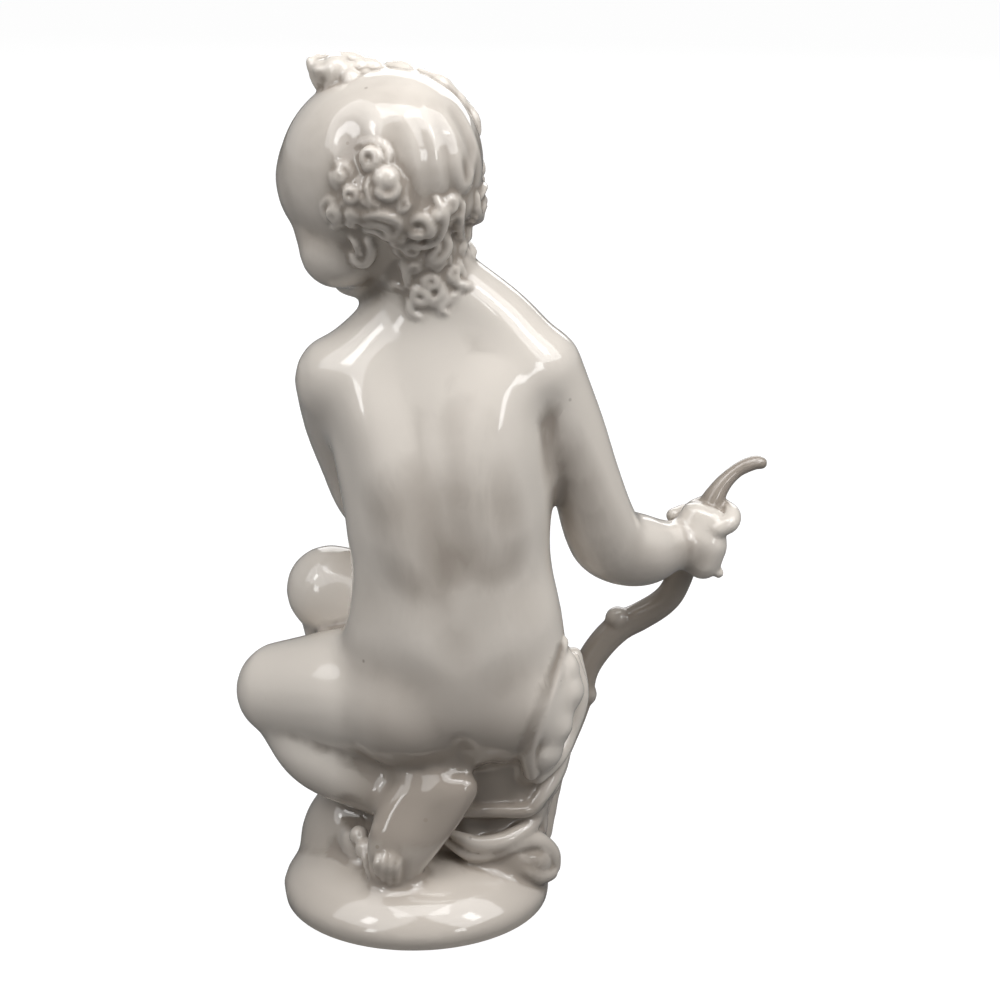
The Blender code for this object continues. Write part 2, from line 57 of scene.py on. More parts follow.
skeleton = {
    "pelvis": (8.6, 0, 46), "neckBase": (4.5, 4, 131), "shoulders": (4.5, 4, 116),
    "leftShoulder": (-15, 5, 114), "leftElbow": (-10, 26, 82), "leftHand": (-2, 37, 65),
    "rightShoulder": (25, 4, 116), "rightElbow": (41.7, 10.5, 75.5), "rightWrist": (56.2, 21, 71),
    "leftHip": (-0.5, -1, 45.5), "leftKnee": (-28.5, 10, 43),
    "leftAnkle": (-7.5, -6, 26), "rightHip": (19.5, 4, 47), "rightKnee": (-18.5, 23, 61),
    "rightAnkle": (-9.8, 16, 19),
    "head": (-6.3, 6, 158), "headTurn": 52, "headNod": 24}

between = {
    # Points between two joints, and their share of the way from the first to the second
    "share": 0.45, "points": {"leftShin": ("leftKnee", "leftAnkle"), "rightLap": ("rightHip", "rightKnee"),
                              "rightShin": ("rightKnee", "rightAnkle")}}
for point, (upper, lower) in between["points"].items():
    skeleton[point] = Vector(skeleton[upper]).lerp(Vector(skeleton[lower]), between["share"])


def moved(point, x=0, y=0, z=0):
    return Vector(point) + Vector((x, y, z))


def byJoint(rows):
    # Limb points from rows of joint, radius and offset from the joint
    return [(moved(skeleton[joint], *offset), radius) for joint, radius, *offset in rows]


def ramp(values, start, run):
    # Climbs from 0 to 1 over a run, which is negative where it climbs towards lower values
    return np.clip((values - start) / run, 0, 1)


def activate(*pieces):
    bpy.ops.object.select_all(action="DESELECT")
    for piece in pieces:
        piece.select_set(True)
    bpy.context.view_layer.objects.active = pieces[0]


def addEgg(place, size, turn=None):
    angles = turn.to_euler() if turn else (0, 0, 0)
    bpy.ops.mesh.primitive_uv_sphere_add(segments=40, ring_count=20, radius=mm, location=Vector(place) * mm,
                                         rotation=angles, scale=size)
    return bpy.context.object


def addBall(place, radius):
    return addEgg(place, (radius, radius, radius))


def smoothPath(rows, steps):
    # Catmull-Rom curve through rows of numbers
    rows = [np.array(row, dtype=float) for row in rows]
    rows = [2 * rows[0] - rows[1]] + rows + [2 * rows[-1] - rows[-2]]
    path = []
    for a, b, c, d in zip(rows, rows[1:], rows[2:], rows[3:]):
        for step in range(steps):
            t = step / steps
            path.append(0.5 * (2 * b + (c - a) * t + (2 * a - 5 * b + 4 * c - d) * t * t
                               + (3 * b - a - 3 * c + d) * t ** 3))
    return path + [rows[-2]]


def addLoft(name, sections, sides):
    # A round face is extruded from section to section and resized to each: (x, y, z, half width, half depth)
    path = smoothPath(sections, steps=4)
    first = path[0]
    bpy.ops.mesh.primitive_circle_add(vertices=sides, radius=mm, fill_type="NGON", location=first[:3] * mm)
    piece = bpy.context.object
    piece.name = name
    piece.scale = (first[3], first[4], 1)
    bpy.ops.object.transform_apply(location=True, rotation=True, scale=True)
    bpy.ops.object.mode_set(mode="EDIT")
    bpy.ops.mesh.select_all(action="SELECT")
    for before, after in zip(path, path[1:]):
        step = (after[:3] - before[:3]) * mm
        bpy.ops.mesh.extrude_region_move(TRANSFORM_OT_translate={"value": tuple(step)})
        bpy.ops.transform.resize(value=(after[3] / before[3], after[4] / before[4], 1),
                                 center_override=tuple(after[:3] * mm))
    bpy.ops.mesh.select_all(action="SELECT")
    bpy.ops.mesh.normals_make_consistent(inside=False)
    bpy.ops.object.mode_set(mode="OBJECT")
    return piece


def addLimbs(name, limbs, steps=6, sides=5):
    # One curve with a round-ended spline for each limb, a list of (point, radius)
    curve = bpy.data.curves.new(name, "CURVE")
    curve.dimensions = "3D"
    curve.bevel_depth = 1
    curve.bevel_resolution = sides
    curve.use_fill_caps = True
    for limb in limbs:
        path = smoothPath([(*point, radius) for point, radius in limb], steps)
        start, end = path[0], path[-1]
        out = (start[:3] - path[1][:3]) / np.linalg.norm(start[:3] - path[1][:3])
        far = (end[:3] - path[-2][:3]) / np.linalg.norm(end[:3] - path[-2][:3])
        caps = [(math.sin(a), math.cos(a)) for a in tubes["capAngles"]]
        rows = [(*(start[:3] + out * start[3] * s), start[3] * c) for s, c in caps[::-1]] + path
        rows += [(*(end[:3] + far * end[3] * s), end[3] * c) for s, c in caps]
        spline = curve.splines.new("POLY")
        spline.points.add(len(rows) - 1)
        for point, row in zip(spline.points, rows):
            point.co = (row[0] * mm, row[1] * mm, row[2] * mm, 1)
            point.radius = max(row[3], tubes["thinnest"]) * mm
    piece = bpy.data.objects.new(name, curve)
    bpy.context.collection.objects.link(piece)
    activate(piece)
    bpy.ops.object.convert(target="MESH")
    return bpy.context.object


def joined(name, pieces):
    activate(*pieces)
    bpy.ops.object.join()
    bpy.ops.object.transform_apply(location=True, rotation=True, scale=True)
    piece = bpy.context.object
    piece.name = name
    return piece


def fuse(piece, size, rounds):
    activate(piece)
    remesh = piece.modifiers.new("fuse", "REMESH")
    remesh.mode = "VOXEL"
    remesh.voxel_size = size * mm
    bpy.ops.object.modifier_apply(modifier="fuse")
    soften(piece, rounds)


def soften(piece, rounds, group=""):
    activate(piece)
    smooth = piece.modifiers.new("soften", "SMOOTH")
    smooth.factor = 0.5
    smooth.iterations = rounds
    smooth.vertex_group = group
    bpy.ops.object.modifier_apply(modifier="soften")


def meshArrays(piece):
    count = len(piece.data.vertices)
    places = np.empty(count * 3)
    piece.data.vertices.foreach_get("co", places)
    normals = np.empty(count * 3)
    piece.data.vertices.foreach_get("normal", normals)
    return places.reshape(-1, 3) / mm, normals.reshape(-1, 3)


def nearLine(places, line, width):
    return np.flatnonzero(np.all((places > line.min(0) - width) & (places < line.max(0) + width), axis=1))


def closeness(places, spot, width):
    return np.clip(1 - ((places - spot) ** 2).sum(1) / width ** 2, 0, 1)


def press(piece, strokes):
    # A stroke is (points, width, depth): it raises the surface, or hollows it if the depth is below zero
    places, normals = meshArrays(piece)
    shift = np.zeros(len(places))
    for points, width, depth in strokes:
        line = np.array(smoothPath(points, steps=10))
        fade = np.sin(np.linspace(0, math.pi, len(line))) ** 0.5
        near = nearLine(places, line, width)
        pull = np.zeros(len(near))
        for spot, strength in zip(line, fade):
            pull = np.maximum(pull, strength * closeness(places[near], spot, width) ** 2)
        shift[near] += depth * pull
    piece.data.vertices.foreach_set("co", ((places + normals * shift[:, None]) * mm).ravel())
    piece.data.update()


class Photo:
    # Finds places by the pixels of the photograph that show them
    def __init__(self, piece=None):
        if piece:
            self.tree = BVHTree.FromObject(piece, bpy.context.evaluated_depsgraph_get())
        self.eye = Vector(view["eye"]) * mm
        self.ahead = (Vector(view["aim"]) * mm - self.eye).normalized()
        self.across = self.ahead.cross(Vector((0, 0, 1))).normalized()
        self.upward = self.across.cross(self.ahead)
        self.focal = view["lens"] / view["sensor"] * view["frame"]

    def ray(self, px, py):
        half = view["frame"] / 2
        return (self.ahead + self.across * ((px - half) / self.focal)
                - self.upward * ((py - half) / self.focal)).normalized()

    def place(self, px, py, depth):
        # The point of a pixel's ray that lies at a depth along Y
        way = self.ray(px, py)
        return (self.eye + way * ((depth * mm - self.eye.y) / way.y)) / mm

    def find(self, px, py):
        # The point of the surface that a pixel shows, and its normal
        way = self.ray(px, py)
        hit = self.tree.ray_cast(self.eye, way)
        if hit[0] is None:
            spots = [self.tree.find_nearest(self.eye + way * step * mm) for step in view["search"]]
            hit = min(spots, key=lambda spot: spot[3])
        return hit[0] / mm, hit[1]

    def nearest(self, point):
        hit = self.tree.find_nearest(Vector(point) * mm)
        return hit[0] / mm, hit[1]

    def line(self, pixels, lift=0):
        spots = [self.find(px, py) for px, py in pixels]
        return [tuple(place + normal * lift) for place, normal in spots]


lens = Photo()


def byPixel(rows):
    # Limb points from rows of pixel x and y, depth and radius
    return [(lens.place(px, py, depth), radius) for px, py, depth, radius in rows]


headPlace = (Matrix.Translation(skeleton["head"]) @ Matrix.Rotation(math.radians(skeleton["headTurn"]), 4,
                                                                    "Z")
             @ Matrix.Rotation(-math.radians(skeleton["headNod"]), 4, "X"))
headTurn = headPlace.to_3x3()


def onHead(x, y, z):
    return headPlace @ Vector((x, y, z))


base = {
    "radius": 28.9, "shift": -0.6, "height": 12.5, "rim": 3, "edge": 1.2, "inset": 0.8, "bottom": -6,
    # Profile of the dome: share of the radius, share of the height
    "profile": [(0, 1), (0.46, 0.93), (0.69, 0.80), (0.84, 0.63), (0.94, 0.43)],
    # Eggs of the mound under the figure: centre, then radii
    "mound": [((-3.6, 9, 7), (22.6, 17, 19.5)), ((2, 7, 22), (15, 11, 15))]}


def makeBase():
    radius, inner, bottom = base["radius"], base["radius"] - base["inset"], base["bottom"]
    outline = [(radius * across, base["height"] * height) for across, height in base["profile"]]
    outline += [(radius, base["rim"]), (radius, base["edge"]), (inner, 0), (inner, bottom), (0, bottom)]
    mesh = bpy.data.meshes.new("dome")
    edges = [(i, i + 1) for i in range(len(outline) - 1)]
    mesh.from_pydata([((x + base["shift"]) * mm, 0, z * mm) for x, z in outline], edges, [])
    dome = bpy.data.objects.new("dome", mesh)
    bpy.context.collection.objects.link(dome)
    activate(dome)
    bpy.ops.object.mode_set(mode="EDIT")
    bpy.ops.mesh.select_all(action="SELECT")
    bpy.ops.mesh.spin(steps=96, angle=2 * math.pi, center=(base["shift"] * mm, 0, 0), axis=(0, 0, 1))
    bpy.ops.mesh.select_all(action="SELECT")
    bpy.ops.mesh.remove_doubles(threshold=0.00001)
    bpy.ops.mesh.normals_make_consistent(inside=False)
    bpy.ops.object.mode_set(mode="OBJECT")
    return [dome] + [addEgg(centre, radii) for centre, radii in base["mound"]]


torso = {
    # (share of the way from pelvis to neck, half width, half depth)
    "sections": [(-0.13, 18.1, 12.9), (-0.02, 22.1, 16.8), (0.09, 23.3, 17.6), (0.21, 23.0, 17.2),
                 (0.35, 21.4, 16.4), (0.49, 21.8, 16.4), (0.61, 23.0, 16.2), (0.72, 23.5, 15.0),
                 (0.83, 22.4, 12.9), (0.93, 18.0, 10.9), (1.00, 12.6, 10.2), (1.07, 10.0, 9.5)],
    "backCurve": 2.5, "sides": 48,
    # Eggs that fill it out: joint, offset from it, radii
    "eggs": [("pelvis", (-1.5, 6.5, 22), (19.5, 15.5, 26)), ("pelvis", (-2, 5, 46), (19, 13.4, 26)),
             ("shoulders", (-8, 2, -9), (12, 9.5, 10)), ("shoulders", (8.5, 1.5, -8.5), (12, 9.5, 10)),
             ("neckBase", (0, 1.5, -16), (15, 11.5, 18)), ("shoulders", (-11, -1.5, -10), (11.5, 10.5, 15)),
             ("shoulders", (13.5, -1.5, -10), (11.5, 10.5, 15)),
             ("neckBase", (8.5, 0.5, -10), (13, 9.5, 12)), ("neckBase", (-8, 0.5, -13), (12, 9.5, 11)),
             ("pelvis", (-10, -5, 0.5), (15, 13.8, 15)), ("pelvis", (8.8, -4.5, 1.8), (15, 13.5, 15)),
             ("pelvis", (-1, -2.2, 15), (22.4, 16.6, 32)), ("pelvis", (-0.5, -5, 5), (17, 13.8, 14))],
    # Slopes from the neck to the shoulders: joint, radius, offset from the joint
    "slopes": [[("neckBase", 9.4, 3, 0, 0.5), ("neckBase", 10.2, 13.5, 1.5, -9.8),
                ("rightShoulder", 10, -1, 0.5, -1.4)],
               [("neckBase", 9.4, -3, 0.5, -2.5), ("neckBase", 10, -12.5, 1.5, -12.8),
                ("leftShoulder", 10, 1, 0.5, -1.4)]]}


def makeTorso():
    pelvis, neck = Vector(skeleton["pelvis"]), Vector(skeleton["neckBase"])
    rows = []
    for share, width, depth in torso["sections"]:
        centre = pelvis.lerp(neck, share)
        centre.y -= torso["backCurve"] * math.sin(math.pi * (share - torso["sections"][0][0]))
        rows.append((*centre, width, depth))
    eggs = [addEgg(moved(skeleton[joint], *offset), radii) for joint, offset, radii in torso["eggs"]]
    slopes = addLimbs("shoulderSlopes", [byJoint(slope) for slope in torso["slopes"]], sides=8)
    return [addLoft("trunk", rows, torso["sides"])] + eggs + [slopes]


limbs = {
    # Rows of joint, radius and offset from the joint
    "rightArm": [("rightShoulder", 9.8), ("rightShoulder", 8.2, 6.3, 1, -13),
                 ("rightShoulder", 7.6, 10.6, 2, -25), ("rightShoulder", 8.056, 13.7, 4, -35),
                 ("rightElbow", 8.208), ("rightElbow", 7.904, 7, 5, -3.5), ("rightWrist", 5.4)],
    "leftArm": [("leftShoulder", 9.8), ("leftShoulder", 8.4, 0, 8, -11), ("leftShoulder", 7.6, 2, 15, -22),
                ("leftElbow", 7.6), ("leftElbow", 6.84, 4.5, 7, -9), ("leftHand", 5.4)],
    "leftThigh": [("leftHip", 15), ("leftHip", 13.95, -13, 4, 0), ("leftKnee", 10.8)],
    "leftCalf": [("leftKnee", 8.8, 2, 1, -6), ("leftShin", 8.8, -1, 0, -4), ("leftAnkle", 6.0)],
    "rightThigh": [("rightHip", 15), ("rightLap", 13, 0, 6, 0), ("rightKnee", 10.044)],
    "rightCalf": [("rightKnee", 8.8, 1, 2, -3), ("rightShin", 8.36, 0, 6, 0), ("rightAnkle", 6.0)]}


def makeLimbs():
    return [addLimbs("limbs", [byJoint(rows) for rows in limbs.values()], steps=8, sides=8)]


def acrossHead(point):
    # The place on the other side of the head, and the direction angle of the first one
    local = headPlace.inverted() @ Vector(point)
    angle = math.degrees(math.atan2(local.x, local.y))
    return headPlace @ Vector((-local.x, local.y, local.z)), angle


headMass = {
    # Eggs in the head's own frame, with the face along Y: centre, then radii
    "eggs": [((0, 0, 0), (18.9, 22.2, 19.4)), ((0, 7.5, 0), (16.3, 15.8, 16)),
             ((0, 8.2, -8.5), (14.2, 13.4, 13.2)), ((0, 2, -11), (13.4, 13.5, 9.5)),
             ((-5.6, 10.6, -8.2), (9.2, 9.6, 8.4)), ((5.6, 10.6, -8.2), (9.2, 9.6, 8.4)),
             ((-7.8, 10.8, -12.8), (8.2, 8.3, 8.2)), ((7.8, 10.8, -12.8), (8.2, 8.3, 8.2)),
             ((0, 12, -14.5), (9, 8.8, 8.6)), ((0, 15.5, -18.8), (5.6, 5.4, 4.4))],
    # Thick hair behind the ear and down to the nape: pixel x and y, depth of the centre, radius
    "hair": [(385, 200, 3.4, 5.0), (420, 222, 3.2, 5.4), (450, 215, 3.4, 5.0), (470, 222, 3.4, 4.4),
             (415, 248, 3.0, 4.8), (440, 246, 3.2, 5.0), (368, 205, 3.6, 4.6), (352, 210, 3.8, 4.4)]}


def makeHeadMass():
    turn = headTurn.to_4x4()
    parts = [addEgg(onHead(*centre), radii, turn) for centre, radii in headMass["eggs"]]
    neck = [(moved(skeleton["neckBase"], 1, 1, -2), 10), (onHead(0, -2, -9), 10)]
    return parts + [addLimbs("neck", [neck], sides=8)]


def makeHairMass(skull):
    balls = []
    for px, py, depth, radius in headMass["hair"]:
        spot, out = skull.find(px, py)
        for place in (spot - out * depth, acrossHead(spot - out * depth)[0]):
            balls.append(addBall(place, radius))
    return balls


cloth = {
    # Draped block: offsets of its sections from the pelvis, then half width and half depth
    "block": [(4.4, 3, -41, 13.8, 13), (3.9, 4, -32.5, 12.2, 13), (5.4, 4.5, -26, 12.4, 13),
              (7.2, 5, -17, 12.2, 14), (12.0, 6, -10, 11.4, 15), (12.5, 6, 0, 11.8, 15),
              (12.5, 6, 7, 10, 13)],
    # Folds by pixel x and y, depth and radius
    "folds": [[(574, 655, 6, 1.8), (579, 690, 5, 2.2), (572, 716, 5, 2.4), (562, 745, 5, 2.4),
               (556, 768, 5, 2.4), (545, 790, 4, 2.3), (539, 812, 2, 2.2), (533, 832, -1, 2.2)],
              [(563, 642, -5, 1.3), (550, 690, -11.5, 1.7), (537, 725, -13.4, 1.8), (528, 750, -13, 1.8),
               (531, 773, -11, 1.7)],
              [(572, 660, 0, 1.8), (580, 695, 0, 2.0), (568, 733, -2, 2.1), (556, 757, -5.5, 2.1),
               (538, 776, -8.6, 1.8)],
              [(563, 748, -1, 2.0), (553, 774, -4, 2.2), (543, 792, -6.5, 1.9), (533, 806, -8, 1.6)],
              [(464, 812, -9, 1.4), (495, 811, -9.5, 1.5), (526, 810, -8.5, 1.7), (539, 799, -6, 1.9),
               (548, 786, -3, 1.9)],
              [(448, 832, -9.5, 0.8), (464, 839, -11, 1.5), (480, 844, -11.4, 1.9), (503, 841, -10.6, 2.1),
               (524, 830, -8.2, 2.1), (534, 818, -5, 2.0)],
              [(446, 842, -9.5, 0.8), (470, 854, -11, 1.6), (497, 850, -10.4, 2.2), (520, 841, -8.8, 2.5),
               (536, 842, -7.2, 2.5), (549, 853, -5.4, 2.4), (551, 865, -5, 2.2)],
              [(492, 858, -9, 1.0), (508, 862, -9.8, 1.9), (525, 869, -9.8, 2.2), (538, 875, -8.8, 2.2),
               (549, 872, -6.6, 2.0)],
              [(498, 762, -5, 1.8), (500, 785, -5.5, 1.8), (499, 806, -7, 1.6)],
              [(516, 760, -5, 1.8), (518, 782, -5.5, 1.8), (517, 804, -7, 1.6)]],
    # Balls that fill the cloth behind its folds: pixel x and y, depth, radius
    "fill": [(490, 826, -2.2, 6.8), (505, 824, -1.6, 6.8), (520, 820, -0.8, 6.4), (476, 832, -4, 5.6),
             (534, 850, -2.0, 4.0), (512, 852, -5.5, 5.4), (490, 848, -6.5, 5.2), (508, 784, 0, 5.8),
             (494, 780, 0.5, 5.6), (562, 690, -5.5, 5.0), (560, 668, -5, 4.4), (550, 722, -8.2, 5.2),
             (541, 748, -8.4, 5.0), (540, 778, 1, 5.0), (527, 800, -1, 5.0), (520, 822, -2, 5.0),
             (539, 862, -5.4, 3.8), (531, 858, -6.8, 4.6), (514, 856, -7.4, 4.8), (538, 752, -7, 4.6),
             (532, 766, -7, 4.0), (546, 712, -5, 4.6), (556, 668, -2.4, 4.4), (520, 790, -3, 5.0),
             (526, 806, -4, 4.4)],
    # Folds of the unseen front, by offsets from the pelvis and radius
    "frontFolds": [[(23, 15, 2, 3), (24, 15, -12, 3), (20.5, 14, -27, 3), (18, 11, -39, 3)],
                   [(15, 19, 4, 2.4), (15.5, 20, -10, 2.8), (12, 18, -24, 2.6), (9, 16, -38, 2.8)],
                   [(6, 19, 0, 2.0), (5.5, 19, -14, 2.4), (3, 17.5, -26, 2.4)]]}


def makeCloth():
    pelvis = Vector(skeleton["pelvis"])
    sections = [(*moved(pelvis, x, y, z), wide, deep) for x, y, z, wide, deep in cloth["block"]]
    drape = addLoft("drape", sections, sides=40)
    folds = [[(moved(pelvis, x, y, z), radius) for x, y, z, radius in rows] for rows in cloth["frontFolds"]]
    fill = [addBall(lens.place(px, py, depth), radius) for px, py, depth, radius in cloth["fill"]]
    return [drape, addLimbs("frontFolds", folds, steps=6)] + fill


def makeFolds():
    return [addLimbs("folds", [byPixel(rows) for rows in cloth["folds"]], steps=6)]


foot = {
    # Rows of pixel x and y, depth and radius
    "rightEdge": [(462, 788, -13.2, 3.8), (451, 808, -14.4, 3.6), (438, 827, -15.4, 3.5),
                  (424, 846, -16.2, 3.4), (408, 864, -16.8, 3.5), (395, 876, -16.8, 3.4)],
    "leftEdge": [(414, 790, -11.8, 4.8), (400, 808, -13.0, 4.5), (390, 828, -14.6, 4.2),
                 (384, 846, -15.8, 3.9), (383, 864, -16.4, 3.4), (386, 874, -16.8, 3.0)],
    "middle": [(440, 792, -12.2, 6.0), (424, 816, -13.3, 6.2), (408, 840, -14.5, 6.2),
               (396, 860, -15.3, 5.2)],
    "toes": [[(380.5, 852, -18.6, 0.6), (376.5, 863, -19.9, 0.85), (377.5, 874, -19.2, 0.6)],
             [(387.5, 849, -19.0, 0.6), (383.5, 865, -20.5, 0.85), (383.5, 880, -19.8, 0.6)],
             [(394.5, 849, -19.2, 0.6), (390.5, 866, -20.7, 0.85), (390, 883, -20, 0.6)],
             [(401.5, 851, -19.2, 0.6), (397.5, 867, -20.6, 0.85), (396.5, 883, -19.9, 0.6)]],
    "rim": [(364, 856, -14, 0.8), (371, 874, -16.4, 1.0), (383, 887, -17.6, 1.0)],
    "side": [(386, 816, -13.6, 1.4), (381, 829, -15.6, 2.2), (380, 838, -16.4, 2.0)],
    "otherFoot": [((-11.2, 16, 20), (5.6, 6.8, 7)), ((-11.6, 6, 19), (5.4, 9, 6)),
                  ((-12, -4, 14), (5.2, 6, 4.8))],
    "otherToes": [(359, 835, -8.5, 2.1), (366, 849, -11.5, 2.4)],
    # The ankle runs from its joint into the heel
    "ankle": ("leftAnkle", 6.0), "heel": (404, 798, -8, 4.6)}


def makeFootMass():
    rows = [byPixel(foot[name]) for name in ("rightEdge", "leftEdge", "middle")]
    # The other foot lies along the mound, and only its toes show from behind
    other = [addEgg(place, radii) for place, radii in foot["otherFoot"]]
    ankle = byJoint([foot["ankle"]]) + byPixel([foot["heel"]])
    return other + [addLimbs("footMass", rows + [ankle], steps=4)]


hand = {
    # Balls and fingers by pixel x and y, depth and radius
    "block": [(695, 517, 23, 3.8), (711, 524, 22, 4.0), (708, 545, 21, 4.5), (703, 561, 21, 4.3),
              (694, 541, 22, 5.4)],
    "bump": (718.5, 573, 20, 1.2),
    "knob": [(718, 529, 19.5, 2.0), (729, 523, 20.5, 2.2), (732, 515, 23, 2.0), (727, 508, 26, 1.7)],
    "loop": [(690, 512, 24, 2.0), (698, 506, 27, 1.9), (712, 502, 29.5, 1.7), (724, 506, 28, 1.7)],
    "fingers": [(64.0, 24, 2.0), (63.6, 28, 1.9), (60, 30.5, 1.9), (56.5, 28, 1.7)], "fingerTop": 75.5,
    "fingerStep": 3.3,
    # The wrist runs from its joint into the fist
    "wrist": ("rightWrist", 5.67), "palm": (697, 548, 22, 4.8),
    # The hand that rests on the knee: radii of the palm, starts and rows of offset and radius
    "resting": (6.2, 6.4, 4.4), "knuckles": [(-3.7 + 2.6 * i, 2.5, 0) for i in range(4)],
    "finger": [((0, 0, 0), 2.0), ((-0.3, 3.6, -1.8), 1.9), ((-0.4, 5.4, -6), 1.6)],
    "thumbStart": (5.2, 0, -0.5), "thumb": [((0, 0, 0), 2.0), ((1.6, 3, -2.5), 1.7)]}


def makeHandMass():
    wrist = byJoint([hand["wrist"]]) + byPixel([hand["palm"]])
    parts = [addBall(lens.place(px, py, depth), radius) for px, py, depth, radius in hand["block"]]
    return parts + [addLimbs("wrist", [wrist]), addEgg(skeleton["leftHand"], hand["resting"])]


print("modelling the masses")
masses = [makeBase, makeTorso, makeLimbs, makeHeadMass, makeCloth, makeFootMass, makeHandMass]
figurine = joined("figurineGlazed", [piece for makeMass in masses for piece in makeMass()])
figurine = joined("figurineGlazed", [figurine] + makeHairMass(Photo(figurine)))
fuse(figurine, grain["body"], grain["bodySmooth"])


sweep = {
    # Where the back is softened: start and run of each side's ramp
    "left": (-21, 7), "right": (33, -7), "front": (9, -6), "bottom": (40, 10), "top": (135, -8),
    "levels": 8, "rounds": 90}


def softenTorso(piece):
    # The back runs in one sweep from the neck to the loins
    group = piece.vertex_groups.new(name="torso")
    x, y, z = meshArrays(piece)[0].T
    weight = ramp(x, *sweep["left"]) * ramp(x, *sweep["right"]) * ramp(y, *sweep["front"])
    weight *= ramp(z, *sweep["bottom"]) * ramp(z, *sweep["top"])
    levels = np.round(weight * sweep["levels"]).astype(int)
    for level in range(1, sweep["levels"] + 1):
        group.add(np.flatnonzero(levels == level).tolist(), level / sweep["levels"], "REPLACE")
    soften(piece, sweep["rounds"], "torso")


softenTorso(figurine)
print("masses fused:", len(figurine.data.vertices), "points")
photo = Photo(figurine)

relief = {
    # Lines of pixels with (width, depth) in millimetres
    "spine": ([(424, 430), (428, 480), (442, 530), (452, 575), (455, 612)], 11, -1.5),
    "spineLeft": ([(400, 440), (402, 500), (410, 560), (414, 600)], 13, 0.9),
    "spineRight": ([(466, 430), (476, 480), (486, 540), (492, 590)], 13, 0.9),
    "shoulderLeft": ([(346, 345), (352, 380), (356, 412)], 11, 2.0),
    "leftBlade": ([(373, 415), (376, 445), (383, 475)], 10, 1.3),
    "leftBladeUnder": ([(394, 390), (398, 440), (400, 470)], 10, -0.8),
    "rightBlade": ([(500, 296), (520, 325), (527, 368), (505, 398), (500, 425), (508, 465)], 12, 1.7),
    "rightBladeUnder": ([(470, 400), (468, 440), (478, 480)], 14, -0.6),
    "betweenBlades": ([(440, 330), (440, 370), (436, 410)], 14, -0.5),
    "waistLeft": ([(346, 575), (368, 590), (392, 606)], 12, -0.8),
    "waistRight": ([(548, 560), (528, 580), (508, 600)], 12, -0.7),
    "loinLeft": ([(398, 628), (420, 640)], 11, 0.6),
    "loinRight": ([(480, 600), (520, 640)], 13, 0.6),
    "dimples": ([(430, 622), (456, 640), (480, 626)], 8, -0.5),
    "cleft": ([(460, 742), (462, 754), (462, 764)], 4.0, -0.9),
    "armpit": ([(548, 400), (548, 440), (549, 475)], 5, -0.8),
    "soleArch": ([(436, 800), (428, 820), (418, 838)], 6.0, -0.6),
    "seatLipLeft": ([(328, 756), (350, 756), (370, 761), (390, 772), (412, 776), (434, 770)], 2.6, 0.6),
    "seatLipRight": ([(468, 756), (483, 765), (497, 764), (512, 755)], 2.6, 0.5),
    "hemHollow": ([(480, 827), (489, 826), (498, 824)], 5.0, -1.6),
    "ballHollow": ([(350, 812), (362, 818), (370, 824)], 5.0, -2.8),
    "hairLock1": ([(400, 104), (416, 130), (426, 160), (432, 188)], 3.6, 0.45),
    "hairLock2": ([(420, 108), (437, 134), (444, 166), (446, 196)], 3.4, 0.45),
    "hairLock3": ([(440, 114), (455, 140), (460, 165)], 3.4, 0.45),
    "hairLock4": ([(460, 116), (475, 148), (480, 190)], 3.2, 0.45),
    "hairGroove1": ([(410, 112), (424, 146), (430, 190)], 2.6, -0.4),
    "hairGroove2": ([(432, 112), (446, 146), (452, 195)], 2.4, -0.4),
    "hairGroove3": ([(392, 130), (400, 160), (404, 192)], 4.0, -0.4),
    "hairGroove4": ([(452, 108), (467, 136), (474, 180)], 2.4, -0.4),
    "hairLoop": ([(454, 152), (457, 172), (463, 186), (470, 176), (473, 156)], 2.3, 1.0),
    "temple": ([(352, 120), (356, 150), (362, 176)], 5.5, -0.9),
    "swirlHollow": ([(412, 226), (420, 226)], 4.0, -1.8)}

brow = {
    # Eye socket, in the head's frame: points of one side, then (width, depth)
    "socket": [(3.4, 21, -6.6), (6.2, 21, -6.2), (9.2, 21, -7)], "socketStroke": (4.6, -1.3),
    # Wisps that lie round the forehead: angles, (reach, height) along each, then (width, depth)
    "wispTurns": range(-20, 100, 12), "wisp": [(9, 18), (13, 15.7), (17, 12.2)], "wispMiddle": 4,
    "wispStroke": (2.6, 0.9)}
strokes = [(photo.line(pixels), width, depth) for pixels, width, depth in relief.values()]
for side in (-1, 1):
    socket = [tuple(photo.nearest(onHead(side * x, y, z))[0]) for x, y, z in brow["socket"]]
    strokes.append((socket, *brow["socketStroke"]))
for turn in brow["wispTurns"]:
    angle = math.radians(turn)
    wisp = [onHead(reach * math.sin(angle), brow["wispMiddle"] + reach * math.cos(angle), height)
            for reach, height in brow["wisp"]]
    strokes.append(([tuple(photo.nearest(place)[0]) for place in wisp], *brow["wispStroke"]))
press(figurine, strokes)
photo = Photo(figurine)
print("back and skull shaped")


def makeFeet():
    lines = [byPixel(foot[name]) for name in ("rim", "side")]
    lines += [byPixel(rows) for rows in foot["toes"]]
    parts = [addBall(lens.place(px, py, depth), radius) for px, py, depth, radius in foot["otherToes"]]
    return parts + [addLimbs("toes", lines, steps=4)]


